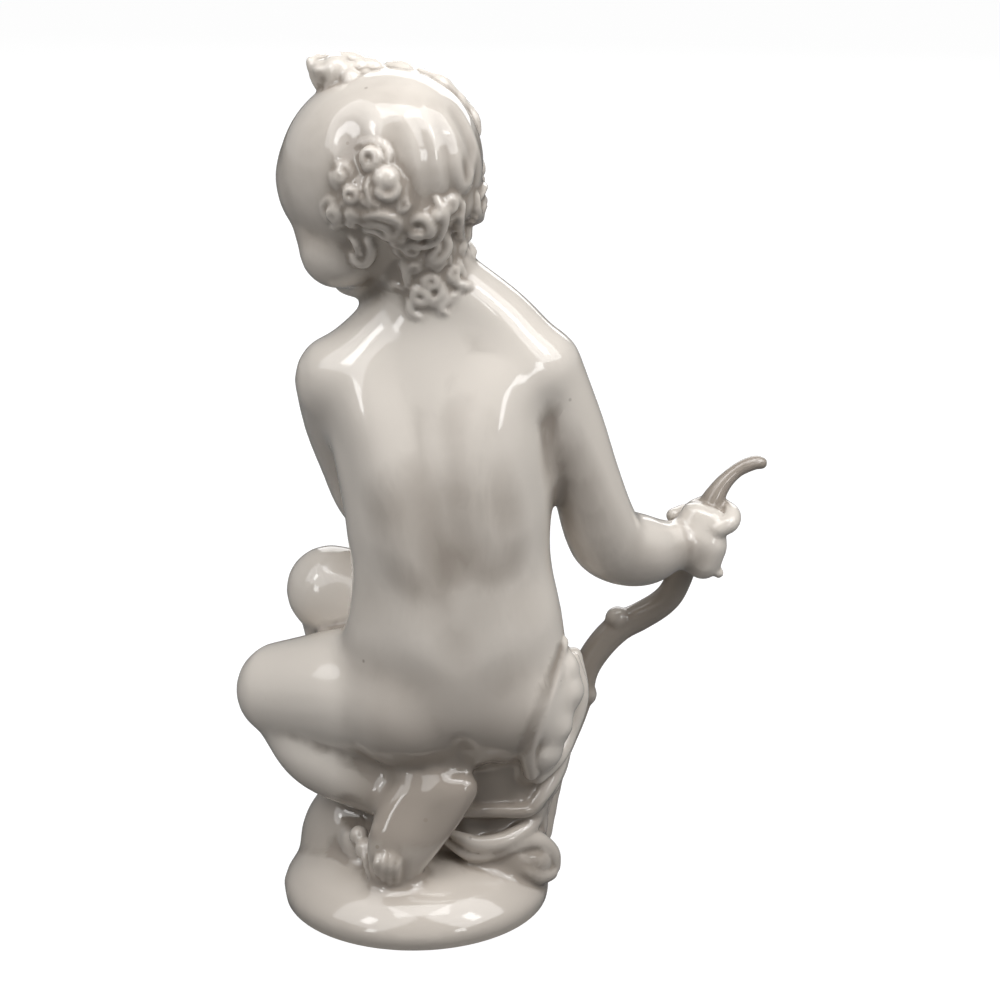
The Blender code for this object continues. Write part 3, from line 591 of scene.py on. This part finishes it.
def makeHands():
    px, py, depth, radius = hand["bump"]
    parts = [addBall(lens.place(px, py, depth), radius)]
    lines = [byPixel(hand["knob"]), byPixel(hand["loop"])]
    for i in range(4):
        height = hand["fingerTop"] - i * hand["fingerStep"]
        lines.append([((x, y, height), radius) for x, y, radius in hand["fingers"]])
    starts = [(knuckle, "finger") for knuckle in hand["knuckles"]] + [(hand["thumbStart"], "thumb")]
    for offset, digit in starts:
        start = moved(skeleton["leftHand"], *offset)
        lines.append([(moved(start, *step), radius) for step, radius in hand[digit]])
    return parts + [addLimbs("fingers", lines, steps=5)]


branch = {
    # Above the hand by pixel x and y, depth and radius, below it by place and radius
    "above": [(761, 463, 30, 1.45), (755.5, 462.5, 30, 1.6), (745.7, 465.8, 29.5, 1.65),
              (736, 471.3, 29, 1.6), (724.5, 482, 28, 1.87), (716, 494, 27, 2.3), (710, 505, 26.5, 2.6)],
    "below": [((61.2, 26, 71), 2.7), ((57.4, 28, 59.3), 3.0), ((54.6, 29, 54.8), 3.1),
              ((49.8, 29.5, 51.4), 3.2), ((45.0, 29, 49.0), 3.3), ((40.6, 27.5, 45.0), 3.2),
              ((37.4, 25.5, 40.3), 3.0), ((35.8, 23.5, 34.3), 3.0), ((33.8, 21.5, 28.3), 2.6),
              ((29, 16.5, 20), 2.5), ((21.5, 14.5, 10.5), 2.5)],
    "knots": [(44.6, 28.5, 51.2, 2.8), (37.2, 23.5, 35.3, 2.7)]}


def makeBranch():
    stem = byPixel(branch["above"]) + branch["below"]
    return [addLimbs("branch", [stem], steps=6, sides=6)] + [addBall(row[:3],
                                                                     row[3]) for row in branch["knots"]]


hair = {
    # Curls: pixel x and y, radius, start of the coil in degrees, way round
    "curls": [(371, 158, 2.9, 250, 1), (388, 188, 2.9, 200, 1), (341, 176, 1.7, 90, 1),
              (352, 194, 2.2, 30, -1), (335, 213, 2.2, 60, -1), (353, 214, 2.0, 240, 1),
              (419, 225, 3.7, 330, 1), (470, 231, 2.7, 150, -1), (411, 247, 2.3, 100, -1),
              (452, 274, 2.0, 30, 1), (431, 281, 2.1, 200, -1), (422, 295, 2.6, 120, 1),
              (437, 263, 2.0, 0, 1), (414, 266, 1.8, 220, 1), (402, 204, 2.0, 60, 1),
              (450, 205, 2.0, 130, -1), (398, 240, 2.0, 20, 1), (376, 206, 1.8, 140, 1)],
    # Round tufts: pixel x and y, depth below the skull, radius
    "tufts": [(386, 179, 0.6, 3.0), (436, 215, 0.2, 1.9), (481, 217, 0.5, 1.4), (366, 200, 0.8, 1.8),
              (400, 222, 0.6, 2.2), (462, 246, 0.6, 1.8), (444, 232, 0.6, 2.0)],
    # Locks: rows of pixel x and y, lift and radius
    "locks": [[(329, 200, -0.2, 0.5), (337, 208, 0.2, 0.9), (338, 220, 0.2, 0.9), (333, 228, 0, 0.5)],
              [(346, 203, -0.2, 0.6), (354, 211, 0.3, 0.9), (351, 224, 0.2, 0.8)],
              [(362, 216, 0, 0.9), (380, 211, 0.7, 1.1), (396, 217, 0.8, 1.2), (396, 230, 0.5, 1.0),
               (389, 238, 0.2, 0.6)],
              [(363, 222, 0, 0.9), (378, 219, 0.8, 1.1), (389, 225, 0.9, 1.1), (388, 236, 0.4, 0.8)],
              [(367, 229, -0.1, 0.8), (378, 229, 0.5, 0.9), (385, 236, 0.4, 0.7)],
              [(368, 240, 0, 0.7), (372, 250, 0.4, 0.9), (366, 261, 0.5, 1.0), (357, 260, 0.5, 1.0),
               (353, 254, 0.2, 0.7)],
              [(352, 238, 0, 0.6), (357, 242, 0.5, 0.8), (360, 250, 0.5, 0.8)],
              [(436, 200, 0, 0.8), (441, 212, 0.6, 1.2), (438, 226, 0.8, 1.2), (428, 234, 0.6, 1.0)],
              [(441, 232, 0.2, 0.9), (446, 245, 0.6, 1.1), (438, 258, 0.6, 1.0), (428, 262, 0.3, 0.8)],
              [(432, 236, 0.2, 0.8), (436, 246, 0.5, 0.9), (430, 256, 0.5, 0.8)],
              [(476, 196, 0, 0.8), (474, 210, 0.4, 1.1), (480, 218, 0.5, 1.1), (478, 226, 0.3, 0.9)],
              [(462, 205, 0, 0.8), (458, 220, 0.4, 1.0), (459, 236, 0.3, 0.9), (464, 246, 0, 0.6)],
              [(402, 200, 0, 0.7), (398, 214, 0.4, 0.9), (404, 230, 0.4, 0.9), (400, 246, 0.2, 0.7)],
              [(403, 262, 0, 0.6), (407, 272, 0.4, 0.9), (408, 284, 0.2, 0.7)],
              [(416, 300, 0, 0.8), (411, 306, 0.3, 0.8), (413, 313, 0.3, 0.7), (419, 317, 0.1, 0.5)],
              [(440, 284, 0.2, 0.8), (441, 294, 0.4, 0.9), (434, 303, 0.2, 0.7)],
              [(455, 282, 0.2, 0.8), (464, 286, 0.2, 0.8), (470, 285, 0, 0.5)],
              [(390, 286, -0.2, 0.5), (396, 284, 0.1, 0.6), (403, 288, -0.1, 0.5)]],
    # Forelock and crest, standing free of the skull: rows of pixel x and y, depth and radius
    "crest": [[(350, 84, 8, 3.2), (334, 78, 8, 3.6), (322, 71, 8, 2.8), (314, 66, 8, 1.7),
               (311, 62, 8, 1.2)],
              [(334, 90, 8, 2.4), (322, 82, 8, 2.0), (316, 75, 8, 1.5)],
              [(356, 76, 8, 2.8), (342, 66, 8, 2.6), (327, 62, 9, 1.8), (318, 59, 9, 1.2)],
              [(366, 74, 8, 2.4), (356, 63, 8, 2.2), (345, 58, 8, 1.6)],
              [(330, 86, 5, 1.3), (336, 78, 4.4, 1.4), (345, 70, 4.4, 1.3), (352, 66, 5, 1.0)],
              [(317, 70, 5.6, 0.9), (326, 70, 5, 1.1), (334, 65, 5.4, 0.9)],
              [(362, 64, 8, 1.6), (373, 68, 7, 2.1), (384, 74, 6, 1.3)],
              [(390, 67, 9, 1.4), (403, 70, 8, 2.0), (414, 76, 7, 1.2)],
              [(415, 72, 9, 1.2), (424, 77, 9, 1.6), (432, 82, 8, 1.2)],
              [(431, 77, 9, 1.2), (441, 83, 8, 1.8), (452, 91, 8, 1.2)],
              [(452, 91, 9, 1.1), (460, 101, 8, 1.5), (466, 112, 8, 1.0)],
              [(466, 104, 9, 0.9), (474, 118, 8, 1.3), (478, 132, 8, 0.9)]],
    "crestBalls": [(360, 68, 7, 2.2), (349, 63, 8, 1.8), (337, 71, 6.4, 3.3), (323, 70, 7, 2.2),
                   (352, 79, 3.2, 2.1), (347, 88, 2.6, 1.1), (366, 76, 4.4, 1.5)],
    # Angles on the head between which the near side is mirrored to the far side
    "mirrorFrom": -155, "mirrorTo": -55,
    # Shares of a curl's radius: (start, change along the coil) of its reach, lift and thickness
    "coilSteps": 12, "coilTurn": 1.75, "coilReach": (0.62, -0.20), "coilLift": (0.14, 0.16),
    "coilTube": (0.42, -0.06),
    # Arcs round a curl: degrees after its start, reach, radius
    "arcs": [(60, 1.15, 0.85), (200, 1.35, 0.75)], "arcSunk": 0.22,
    "coreSunk": 0.72, "coreSize": 0.95, "mirrorSunk": 0.45, "lockWidth": 1.2}


def ringPoint(out, angle):
    # Direction at an angle round a curl, in the surface's own plane
    across = (lens.across - out * lens.across.dot(out)).normalized()
    return across * math.cos(angle) + out.cross(across) * math.sin(angle)


def alongCoil(name, share):
    start, change = hair[name]
    return start + change * share


def coil(seat, out, size, start, way):
    # Open curl: a ring that winds a little inwards round its hollow middle
    line = []
    for i in range(hair["coilSteps"] + 1):
        share = i / hair["coilSteps"]
        angle = math.radians(start) + way * share * hair["coilTurn"] * math.pi
        reach = size * alongCoil("coilReach", share)
        point = seat + out * size * alongCoil("coilLift", share) + reach * ringPoint(out, angle)
        line.append((point, size * alongCoil("coilTube", share)))
    return line


def strand(seat, out, size, start, way, reach, radius):
    # Arc of hair that runs round a curl
    angles = [math.radians(start) + way * step * math.pi / 6 for step in range(1, 7)]
    middle = seat - out * size * hair["arcSunk"]
    return [(middle + size * reach * ringPoint(out, angle), radius) for angle in angles]


def makeHair():
    lines, parts = [], []
    for px, py, size, start, way in hair["curls"]:
        seat, out = photo.find(px, py)
        places = [(seat, out, way)]
        other, angle = acrossHead(seat)
        if hair["mirrorFrom"] < angle < hair["mirrorTo"]:
            places.append((*photo.nearest(other), -way))
        for i, (seat, out, way) in enumerate(places):
            seat = seat - out * size * hair["mirrorSunk"] * i
            lines.append(coil(seat, out, size, start, way))
            for after, reach, radius in hair["arcs"]:
                lines.append(strand(seat, out, size, start + after, way, reach, radius))
            parts.append(addBall(seat - out * size * hair["coreSunk"], size * hair["coreSize"]))
    for px, py, sunk, radius in hair["tufts"]:
        seat, out = photo.find(px, py)
        parts.append(addBall(seat - out * sunk, radius))
    for rows in hair["locks"]:
        spots = [photo.find(px, py) for px, py, lift, radius in rows]
        lines.append([(spot + out * lift, radius * hair["lockWidth"])
                      for (spot, out), (px, py, lift, radius) in zip(spots, rows)])
        others = [acrossHead(spot) for spot, out in spots]
        if all(hair["mirrorFrom"] < angle < hair["mirrorTo"] for other, angle in others):
            spots = [photo.nearest(other) for other, angle in others]
            lines.append([(spot + out * lift, radius)
                          for (spot, out), (px, py, lift, radius) in zip(spots, rows)])
    lines += [byPixel(rows) for rows in hair["crest"]]
    parts += [addBall(lens.place(px, py, depth), radius) for px, py, depth, radius in hair["crestBalls"]]
    return parts + [addLimbs("curls", lines, steps=3, sides=3)]


face = {
    # A calm child's face of plain proportions, in the head's frame: points of one side, then radius
    "nose": [((0, 20.4, -5.6), 1.5), ((0, 21.7, -8.8), 1.7), ((0, 22.9, -11.2), 2.0)],
    "wing": ((2.1, 21.4, -11.7), 1.35), "eyeBall": ((6.1, 17.3, -6.9), 3.2),
    "upperLid": [((3.3, 19.8, -7.2), 0.5), ((6.3, 20.7, -5.9), 0.7), ((9.2, 18.6, -7.2), 0.5)],
    "lowerLid": [((3.5, 19.7, -7.7), 0.4), ((6.2, 20.1, -8.7), 0.5), ((9.0, 18.5, -7.8), 0.4)],
    "brow": [((2.9, 21.2, -3.4), 0.5), ((6.4, 20.9, -2.2), 0.6), ((9.6, 19.0, -3.4), 0.4)],
    "upperLip": [((3.8, 19.7, -15.8), 0.6), ((1.4, 21.2, -15.1), 1.0), ((0, 21.1, -15.4), 0.9)],
    "lowerLip": [((3.2, 19.8, -16.7), 0.6), ((0, 21.1, -17.2), 1.3)]}


def makeFace():
    parts, lines = [], [[(onHead(*place), radius) for place, radius in face["nose"]]]
    for side in (-1, 1):
        for name in ("wing", "eyeBall"):
            (x, y, z), radius = face[name]
            parts.append(addBall(onHead(side * x, y, z), radius))
        for name in ("upperLid", "lowerLid", "brow", "upperLip", "lowerLip"):
            lines.append([(onHead(side * x, y, z), radius) for (x, y, z), radius in face[name]])
    return parts + [addLimbs("faceLines", lines, steps=5, sides=3)]


print("adding feet, hands, branch, hair and face")
details = makeFolds() + makeFeet() + makeHands() + makeBranch() + makeHair() + makeFace()
figurine = joined("figurineGlazed", [figurine] + details)
fuse(figurine, grain["fine"], grain["fineSmooth"])
print("details fused:", len(figurine.data.vertices), "points")


def cutFlat(piece):
    activate(piece)
    bpy.ops.object.mode_set(mode="EDIT")
    bpy.ops.mesh.select_all(action="SELECT")
    bpy.ops.mesh.bisect(plane_co=(0, 0, 0), plane_no=(0, 0, 1), use_fill=True, clear_inner=True,
                        threshold=0.000001)
    bpy.ops.object.mode_set(mode="OBJECT")


def thin(piece, limit):
    activate(piece)
    count = sum(len(face.vertices) - 2 for face in piece.data.polygons)
    if count > limit:
        fewer = piece.modifiers.new("fewer", "DECIMATE")
        fewer.ratio = limit / count
        bpy.ops.object.modifier_apply(modifier="fewer")


thin(figurine, grain["triangles"])
cutFlat(figurine)
activate(figurine)
bpy.ops.object.shade_smooth_by_angle(angle=math.radians(grain["sharpAngle"]))
print("surface finished:", len(figurine.data.polygons), "faces")


class Sock:
    # A shader socket that adds its maths nodes when it is used in an expression
    def __init__(self, tree, socket):
        self.tree = tree
        self.socket = socket

    def math(self, operation, other, swapped=False):
        node = self.tree.nodes.new("ShaderNodeMath")
        node.operation = operation
        first, second = (other, self) if swapped else (self, other)
        for slot, value in zip(node.inputs, (first, second)):
            if isinstance(value, Sock):
                self.tree.links.new(value.socket, slot)
            else:
                slot.default_value = value
        return Sock(self.tree, node.outputs[0])

    def __add__(self, other):
        return self.math("ADD", other)

    def __radd__(self, other):
        return self.math("ADD", other, True)

    def __mul__(self, other):
        return self.math("MULTIPLY", other)

    def __rmul__(self, other):
        return self.math("MULTIPLY", other, True)


class Shader:
    # A material's node tree, with one method that adds any node
    def __init__(self, name):
        self.material = bpy.data.materials.new(name)
        self.material.use_nodes = True
        self.tree = self.material.node_tree
        self.principled = self.tree.nodes["Principled BSDF"]

    def add(self, kind, output=0, settings=None, **sockets):
        node = self.tree.nodes.new(kind)
        for name, value in (settings or {}).items():
            setattr(node, name, value)
        for name, value in sockets.items():
            self.put(node, name, value)
        return Sock(self.tree, node.outputs[output])

    def put(self, node, name, value):
        slot = node.inputs[int(name[1:])] if name[0] == "i" and name[1:].isdigit() else node.inputs[name]
        if isinstance(value, Sock):
            self.tree.links.new(value.socket, slot)
        else:
            slot.default_value = value


glaze = {
    # The dark tint is painted shade, and in the hollows partly glaze that pools; its share scales the
    # painted darkness
    "white": (0.80, 0.74, 0.67, 1), "paintedShade": (0.35, 0.300, 0.254, 1), "paintedShadeShare": 0.92,
    "roughness": 0.08, "roughnessDrift": 0.05, "driftScale": 28.0, "driftDetail": 2.0,
    # Dark specks: scale of their cells, share of a cell where they end at full and at no strength
    "speckScale": 100.0, "speckCore": 0.02, "speckEdge": 0.05, "speckStrength": 0.45,
    "coat": 0.6, "coatRoughness": 0.04, "refraction": 1.5}

paintedShade = {
    # Painted shade where shade falls under, beside and between parts and on shaded sides: lines of pixels,
    # width in millimetres, strength
    "underHem": ([(476, 828), (488, 828), (500, 824)], 4.8, 1.2),
    "underSeat": ([(486, 765), (500, 788), (504, 802)], 7, 0.4),
    "underSeatRight": ([(520, 766), (518, 800)], 5, 0.35),
    "underHeel": ([(426, 781), (450, 772), (474, 770)], 4, 1.0),
    "besideFoot": ([(352, 806), (362, 816), (370, 828)], 4.5, 1.1),
    "sole": ([(425, 795), (410, 830), (394, 868)], 11, 0.4),
    "heel": ([(452, 782), (430, 786), (440, 808)], 9, 0.7),
    "lobeGroove": ([(500, 854), (522, 870), (545, 882)], 3, 0.7),
    "lobeFold": ([(526, 842), (540, 862)], 2.6, 0.6),
    "petalEdge": ([(560, 650), (546, 692), (532, 728), (524, 748)], 2.2, 0.8),
    "toeGap1": ([(383, 855), (380, 866), (380, 878)], 0.75, 0.7),
    "toeGap2": ([(390, 854), (387, 867), (387, 881)], 0.75, 0.7),
    "toeGap3": ([(397, 855), (394, 868), (393, 882)], 0.75, 0.7),
    "backLeft": ([(408, 490), (412, 530), (422, 566)], 12, 0.7),
    "backRight": ([(472, 430), (480, 500), (490, 550)], 12, 0.75),
    "backLow": ([(430, 580), (456, 600), (466, 640)], 16, 0.35),
    "backMiddle": ([(440, 430), (440, 500)], 15, 0.45),
    "loins": ([(370, 640), (430, 650), (500, 640)], 16, 0.3),
    "forearm": ([(604, 552), (640, 576), (684, 566)], 9, 0.6),
    "temple": ([(346, 140), (356, 176), (368, 206)], 8, 1.0),
    "behindCurls": ([(384, 204), (402, 206), (406, 178)], 6, 0.9),
    "swirl": ([(402, 224), (414, 230), (426, 226)], 5, 1.1),
    "belowEar": ([(382, 250), (394, 266), (400, 280)], 6, 0.9), "ear": ([(352, 230), (358, 246)], 3.4, 0.8),
    "nape": ([(406, 250), (424, 264), (444, 262)], 4.4, 0.9),
    "jaw": ([(330, 276), (358, 284), (384, 276)], 8, 0.6),
    "napeCurls": ([(416, 292), (428, 292)], 2.4, 0.7),
    "rightCurls": ([(478, 204), (473, 212), (462, 214)], 4, 0.9),
    "skull": ([(350, 150), (390, 150), (430, 156), (460, 164)], 20, 0.6),
    "skullBand": ([(378, 100), (366, 130), (366, 150)], 11, 0.6),
    "hairGround": ([(346, 200), (372, 198), (400, 212), (424, 236), (446, 226), (472, 214)], 10, 0.7),
    "hairLow": ([(396, 240), (420, 262), (440, 262)], 8, 0.7),
    "face": ([(290, 215), (310, 240), (330, 262)], 12, 0.6),
    "forehead": ([(310, 110), (296, 170), (300, 200)], 14, 0.35),
    "forelock": ([(324, 68), (336, 68), (343, 75)], 3, 0.7),
    "underArm": ([(560, 440), (578, 505), (604, 552)], 9, 0.7)}


shade = {
    # Painted shade in the fine and the broad hollows, partly glaze that pools: smoothing rounds of each, and
    # the depth at which each is full
    "fine": (12, 0.14), "broad": (60, 0.5), "each": 0.5,
    # What stands proud by this much gets less painted shade and a little painted light; the branch's stem
    # gets painted shade of its own
    "proud": 0.16, "proudShadeCut": 0.55, "proudPaintedLight": 0.08, "stemWidth": 5.5, "stemStrength": 1.3,
    # Broad painted shade low down and painted light high up, by height: strength, then the start and run of
    # its ramp
    "low": (0.55, 34, -12), "high": (0.35, 94, 12), "highEnd": 134,
    # Painted shade under the seat: strength, then the start and run of each side's ramp
    "seat": 0.9, "seatTop": (62, -22), "seatBottom": (18, 8), "seatLeft": (-18, 10), "seatRight": (27, -5),
    "seatFront": (4, -6)}


def broadShade(places):
    # Painted shade low down and under the seat, painted light on the upper back
    x, y, z = places.T
    low, lowStart, lowRun = shade["low"]
    high, highStart, highRun = shade["high"]
    total = low * ramp(z, lowStart, lowRun) - high * ramp(z, highStart, highRun) * (z < shade["highEnd"])
    seat = shade["seat"]
    for values, side in ((z, "seatTop"), (z, "seatBottom"), (x, "seatLeft"), (x, "seatRight"),
                         (y, "seatFront")):
        seat = seat * ramp(values, *shade[side])
    return total + seat


def paintShade(places, strokes):
    # Painted shade along strokes, full on the line and fading over its width
    darker = np.zeros(len(places))
    for points, width, strength in strokes:
        line = np.array(smoothPath(points, steps=8))
        near = nearLine(places, line, width)
        for spot in line:
            share = closeness(places[near], spot, width)
            darker[near] = np.maximum(darker[near], strength * share * share * (3 - 2 * share))
    return darker


def smoothed(places, edges, rounds):
    # The points after rounds that each move them half way to the mean of their neighbours
    count = len(places)
    degree = np.bincount(edges.ravel(), minlength=count)[:, None]
    for i in range(rounds):
        mean = np.zeros_like(places)
        for axis in range(3):
            mean[:, axis] = (np.bincount(edges[:, 0], places[edges[:, 1], axis], count)
                             + np.bincount(edges[:, 1], places[edges[:, 0], axis], count))
        places = 0.5 * places + 0.5 * mean / degree
    return places


def paintShadeAndPooling(piece):
    # How dark each point is painted, from 0 to 1, with painted shade and painted light; in the hollows
    # partly glaze that pools
    places, normals = meshArrays(piece)
    edges = np.empty(len(piece.data.edges) * 2, dtype=int)
    piece.data.edges.foreach_get("vertices", edges)
    edges = edges.reshape(-1, 2)
    total = np.zeros(len(places))
    depths = {}
    for size in ("fine", "broad"):
        rounds, full = shade[size]
        depths[size] = ((smoothed(places, edges, rounds) - places) * normals).sum(1)
        total += shade["each"] * np.clip(depths[size] / full, 0, 1)
    proud = np.clip(-depths["fine"] / shade["proud"], 0, 1)
    # Painted shade is weaker, and a little painted light is added, on whatever stands proud, but not on the
    # branch
    lines = [(photo.line(pixels), width, strength) for pixels, width, strength in paintedShade.values()]
    stem = [tuple(place) for place, radius in byPixel(branch["above"]) + branch["below"]]
    total += (broadShade(places) + paintShade(places, lines) * (1 - shade["proudShadeCut"] * proud)
              - shade["proudPaintedLight"] * proud)
    # Painted shade along the branch, laid on in full
    total = np.clip(total + paintShade(places, [(stem, shade["stemWidth"], shade["stemStrength"])]), 0, 1)
    # The painted shade and light are kept on the points as one darkness value
    layer = piece.data.attributes.new("paintedShadeAndPooling", "FLOAT", "POINT")
    layer.data.foreach_set("value", total.astype(np.float32))


paintShadeAndPooling(figurine)
porcelain = Shader("glazedPorcelain")
where = porcelain.add("ShaderNodeTexCoord", output=3)
# Painted shade and painted light read from the mesh, with some glaze pooled in the hollows
paintedShadeAndPooling = porcelain.add("ShaderNodeAttribute", output=2, settings={"attribute_name": "paintedShadeAndPooling"})
drift = porcelain.add("ShaderNodeTexNoise", Vector=where, Scale=glaze["driftScale"],
                      Detail=glaze["driftDetail"])
cells = porcelain.add("ShaderNodeTexVoronoi", Vector=where, Scale=glaze["speckScale"])
speck = porcelain.add("ShaderNodeMapRange", Value=cells, i1=glaze["speckCore"], i2=glaze["speckEdge"],
                      i3=glaze["speckStrength"], i4=0.0)
# Base colour darkens towards the tint where shade is painted and glaze pools; the specks are the glaze's own
tint = porcelain.add("ShaderNodeMix", output=2, settings={"data_type": "RGBA"},
                     i0=paintedShadeAndPooling * glaze["paintedShadeShare"] + speck, i6=glaze["white"], i7=glaze["paintedShade"])
porcelain.put(porcelain.principled, "Base Color", tint)
porcelain.put(porcelain.principled, "Roughness", glaze["roughness"] + glaze["roughnessDrift"] * drift)
porcelain.put(porcelain.principled, "Coat Weight", glaze["coat"])
porcelain.put(porcelain.principled, "Coat Roughness", glaze["coatRoughness"])
porcelain.put(porcelain.principled, "IOR", glaze["refraction"])
figurine.data.materials.clear()
figurine.data.materials.append(porcelain.material)

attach(figurine, "root")
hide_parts("cherub_figurine")
print("glazed")

studio = {
    "floor": (0.15, 0.15, 0.15, 1), "floorLift": 0.95, "floorSize": 8, "floorTop": -0.0002,
    "floorRoughness": 0.9, "world": 0.035, "reflected": 0.22, "target": (0.01, 0, 0.09),
    # Lamps: place in metres, width, height, power in watts
    "lamps": {"leftSoft": ((-0.36, -0.24, 0.60), 0.62, 0.62, 2.25),
              "leftWindow": ((-0.36, -0.27, 0.52), 0.10, 0.16, 0.27),
              "rightSoft": ((0.40, -0.20, 0.60), 0.55, 0.62, 3.1),
              "rightWindow": ((0.40, -0.22, 0.52), 0.10, 0.18, 0.3),
              "leftLow": ((-0.52, -0.62, 0.36), 0.13, 0.20, 0.40),
              "rightLow": ((0.50, -0.66, 0.36), 0.11, 0.20, 0.34),
              "topPanel": ((0.03, -0.16, 0.85), 0.5, 0.3, 1.5),
              "backPanel": ((0.15, 0.95, 0.50), 0.8, 0.6, 2.6)}}


def makeStudio():
    bpy.ops.mesh.primitive_plane_add(size=studio["floorSize"], location=(0, 0, studio["floorTop"]))
    floor = bpy.context.object
    floor.name = "studioFloor"
    bpy.ops.object.transform_apply(location=True, rotation=True, scale=True)
    paint = Shader("studioFloorPaint")
    paint.put(paint.principled, "Base Color", studio["floor"])
    paint.put(paint.principled, "Roughness", studio["floorRoughness"])
    path = paint.tree.nodes.new("ShaderNodeLightPath")
    seen = Sock(paint.tree, path.outputs["Is Camera Ray"])
    paint.put(paint.principled, "Emission Color", (1, 1, 1, 1))
    paint.put(paint.principled, "Emission Strength", seen * studio["floorLift"])
    floor.data.materials.append(paint.material)
    for name, (place, width, height, power) in studio["lamps"].items():
        light = bpy.data.lights.new(name, "AREA")
        light.shape = "RECTANGLE"
        light.size = width
        light.size_y = height
        light.energy = power
        lamp = bpy.data.objects.new(name, light)
        lamp.location = place
        lamp.rotation_euler = (Vector(studio["target"]) - lamp.location).to_track_quat("-Z", "Y").to_euler()
        bpy.context.collection.objects.link(lamp)
    world = bpy.data.worlds.new("studioWorld")
    bpy.context.scene.world = world
    world.use_nodes = True
    sky = world.node_tree
    path = sky.nodes.new("ShaderNodeLightPath")
    seen = Sock(sky, path.outputs["Is Camera Ray"])
    background = sky.nodes["Background"]
    background.inputs["Color"].default_value = (1, 1, 1, 1)
    glossy = Sock(sky, path.outputs["Is Glossy Ray"])
    strength = studio["world"] + seen * (1 - studio["world"]) + glossy * studio["reflected"]
    sky.links.new(strength.socket, background.inputs["Strength"])
    bpy.context.scene.view_settings.view_transform = "Standard"


def makeCamera():
    camera = bpy.data.objects.new("camera", bpy.data.cameras.new("camera"))
    bpy.context.collection.objects.link(camera)
    camera.location = Vector(view["eye"]) * mm
    camera.rotation_euler = (Vector(view["aim"]) * mm - camera.location).to_track_quat("-Z", "Y").to_euler()
    camera.data.lens = view["lens"]
    camera.data.sensor_width = view["sensor"]
    camera.data.clip_start = view["clip"]
    bpy.context.scene.camera = camera


makeStudio()
makeCamera()
print("studio and camera set")
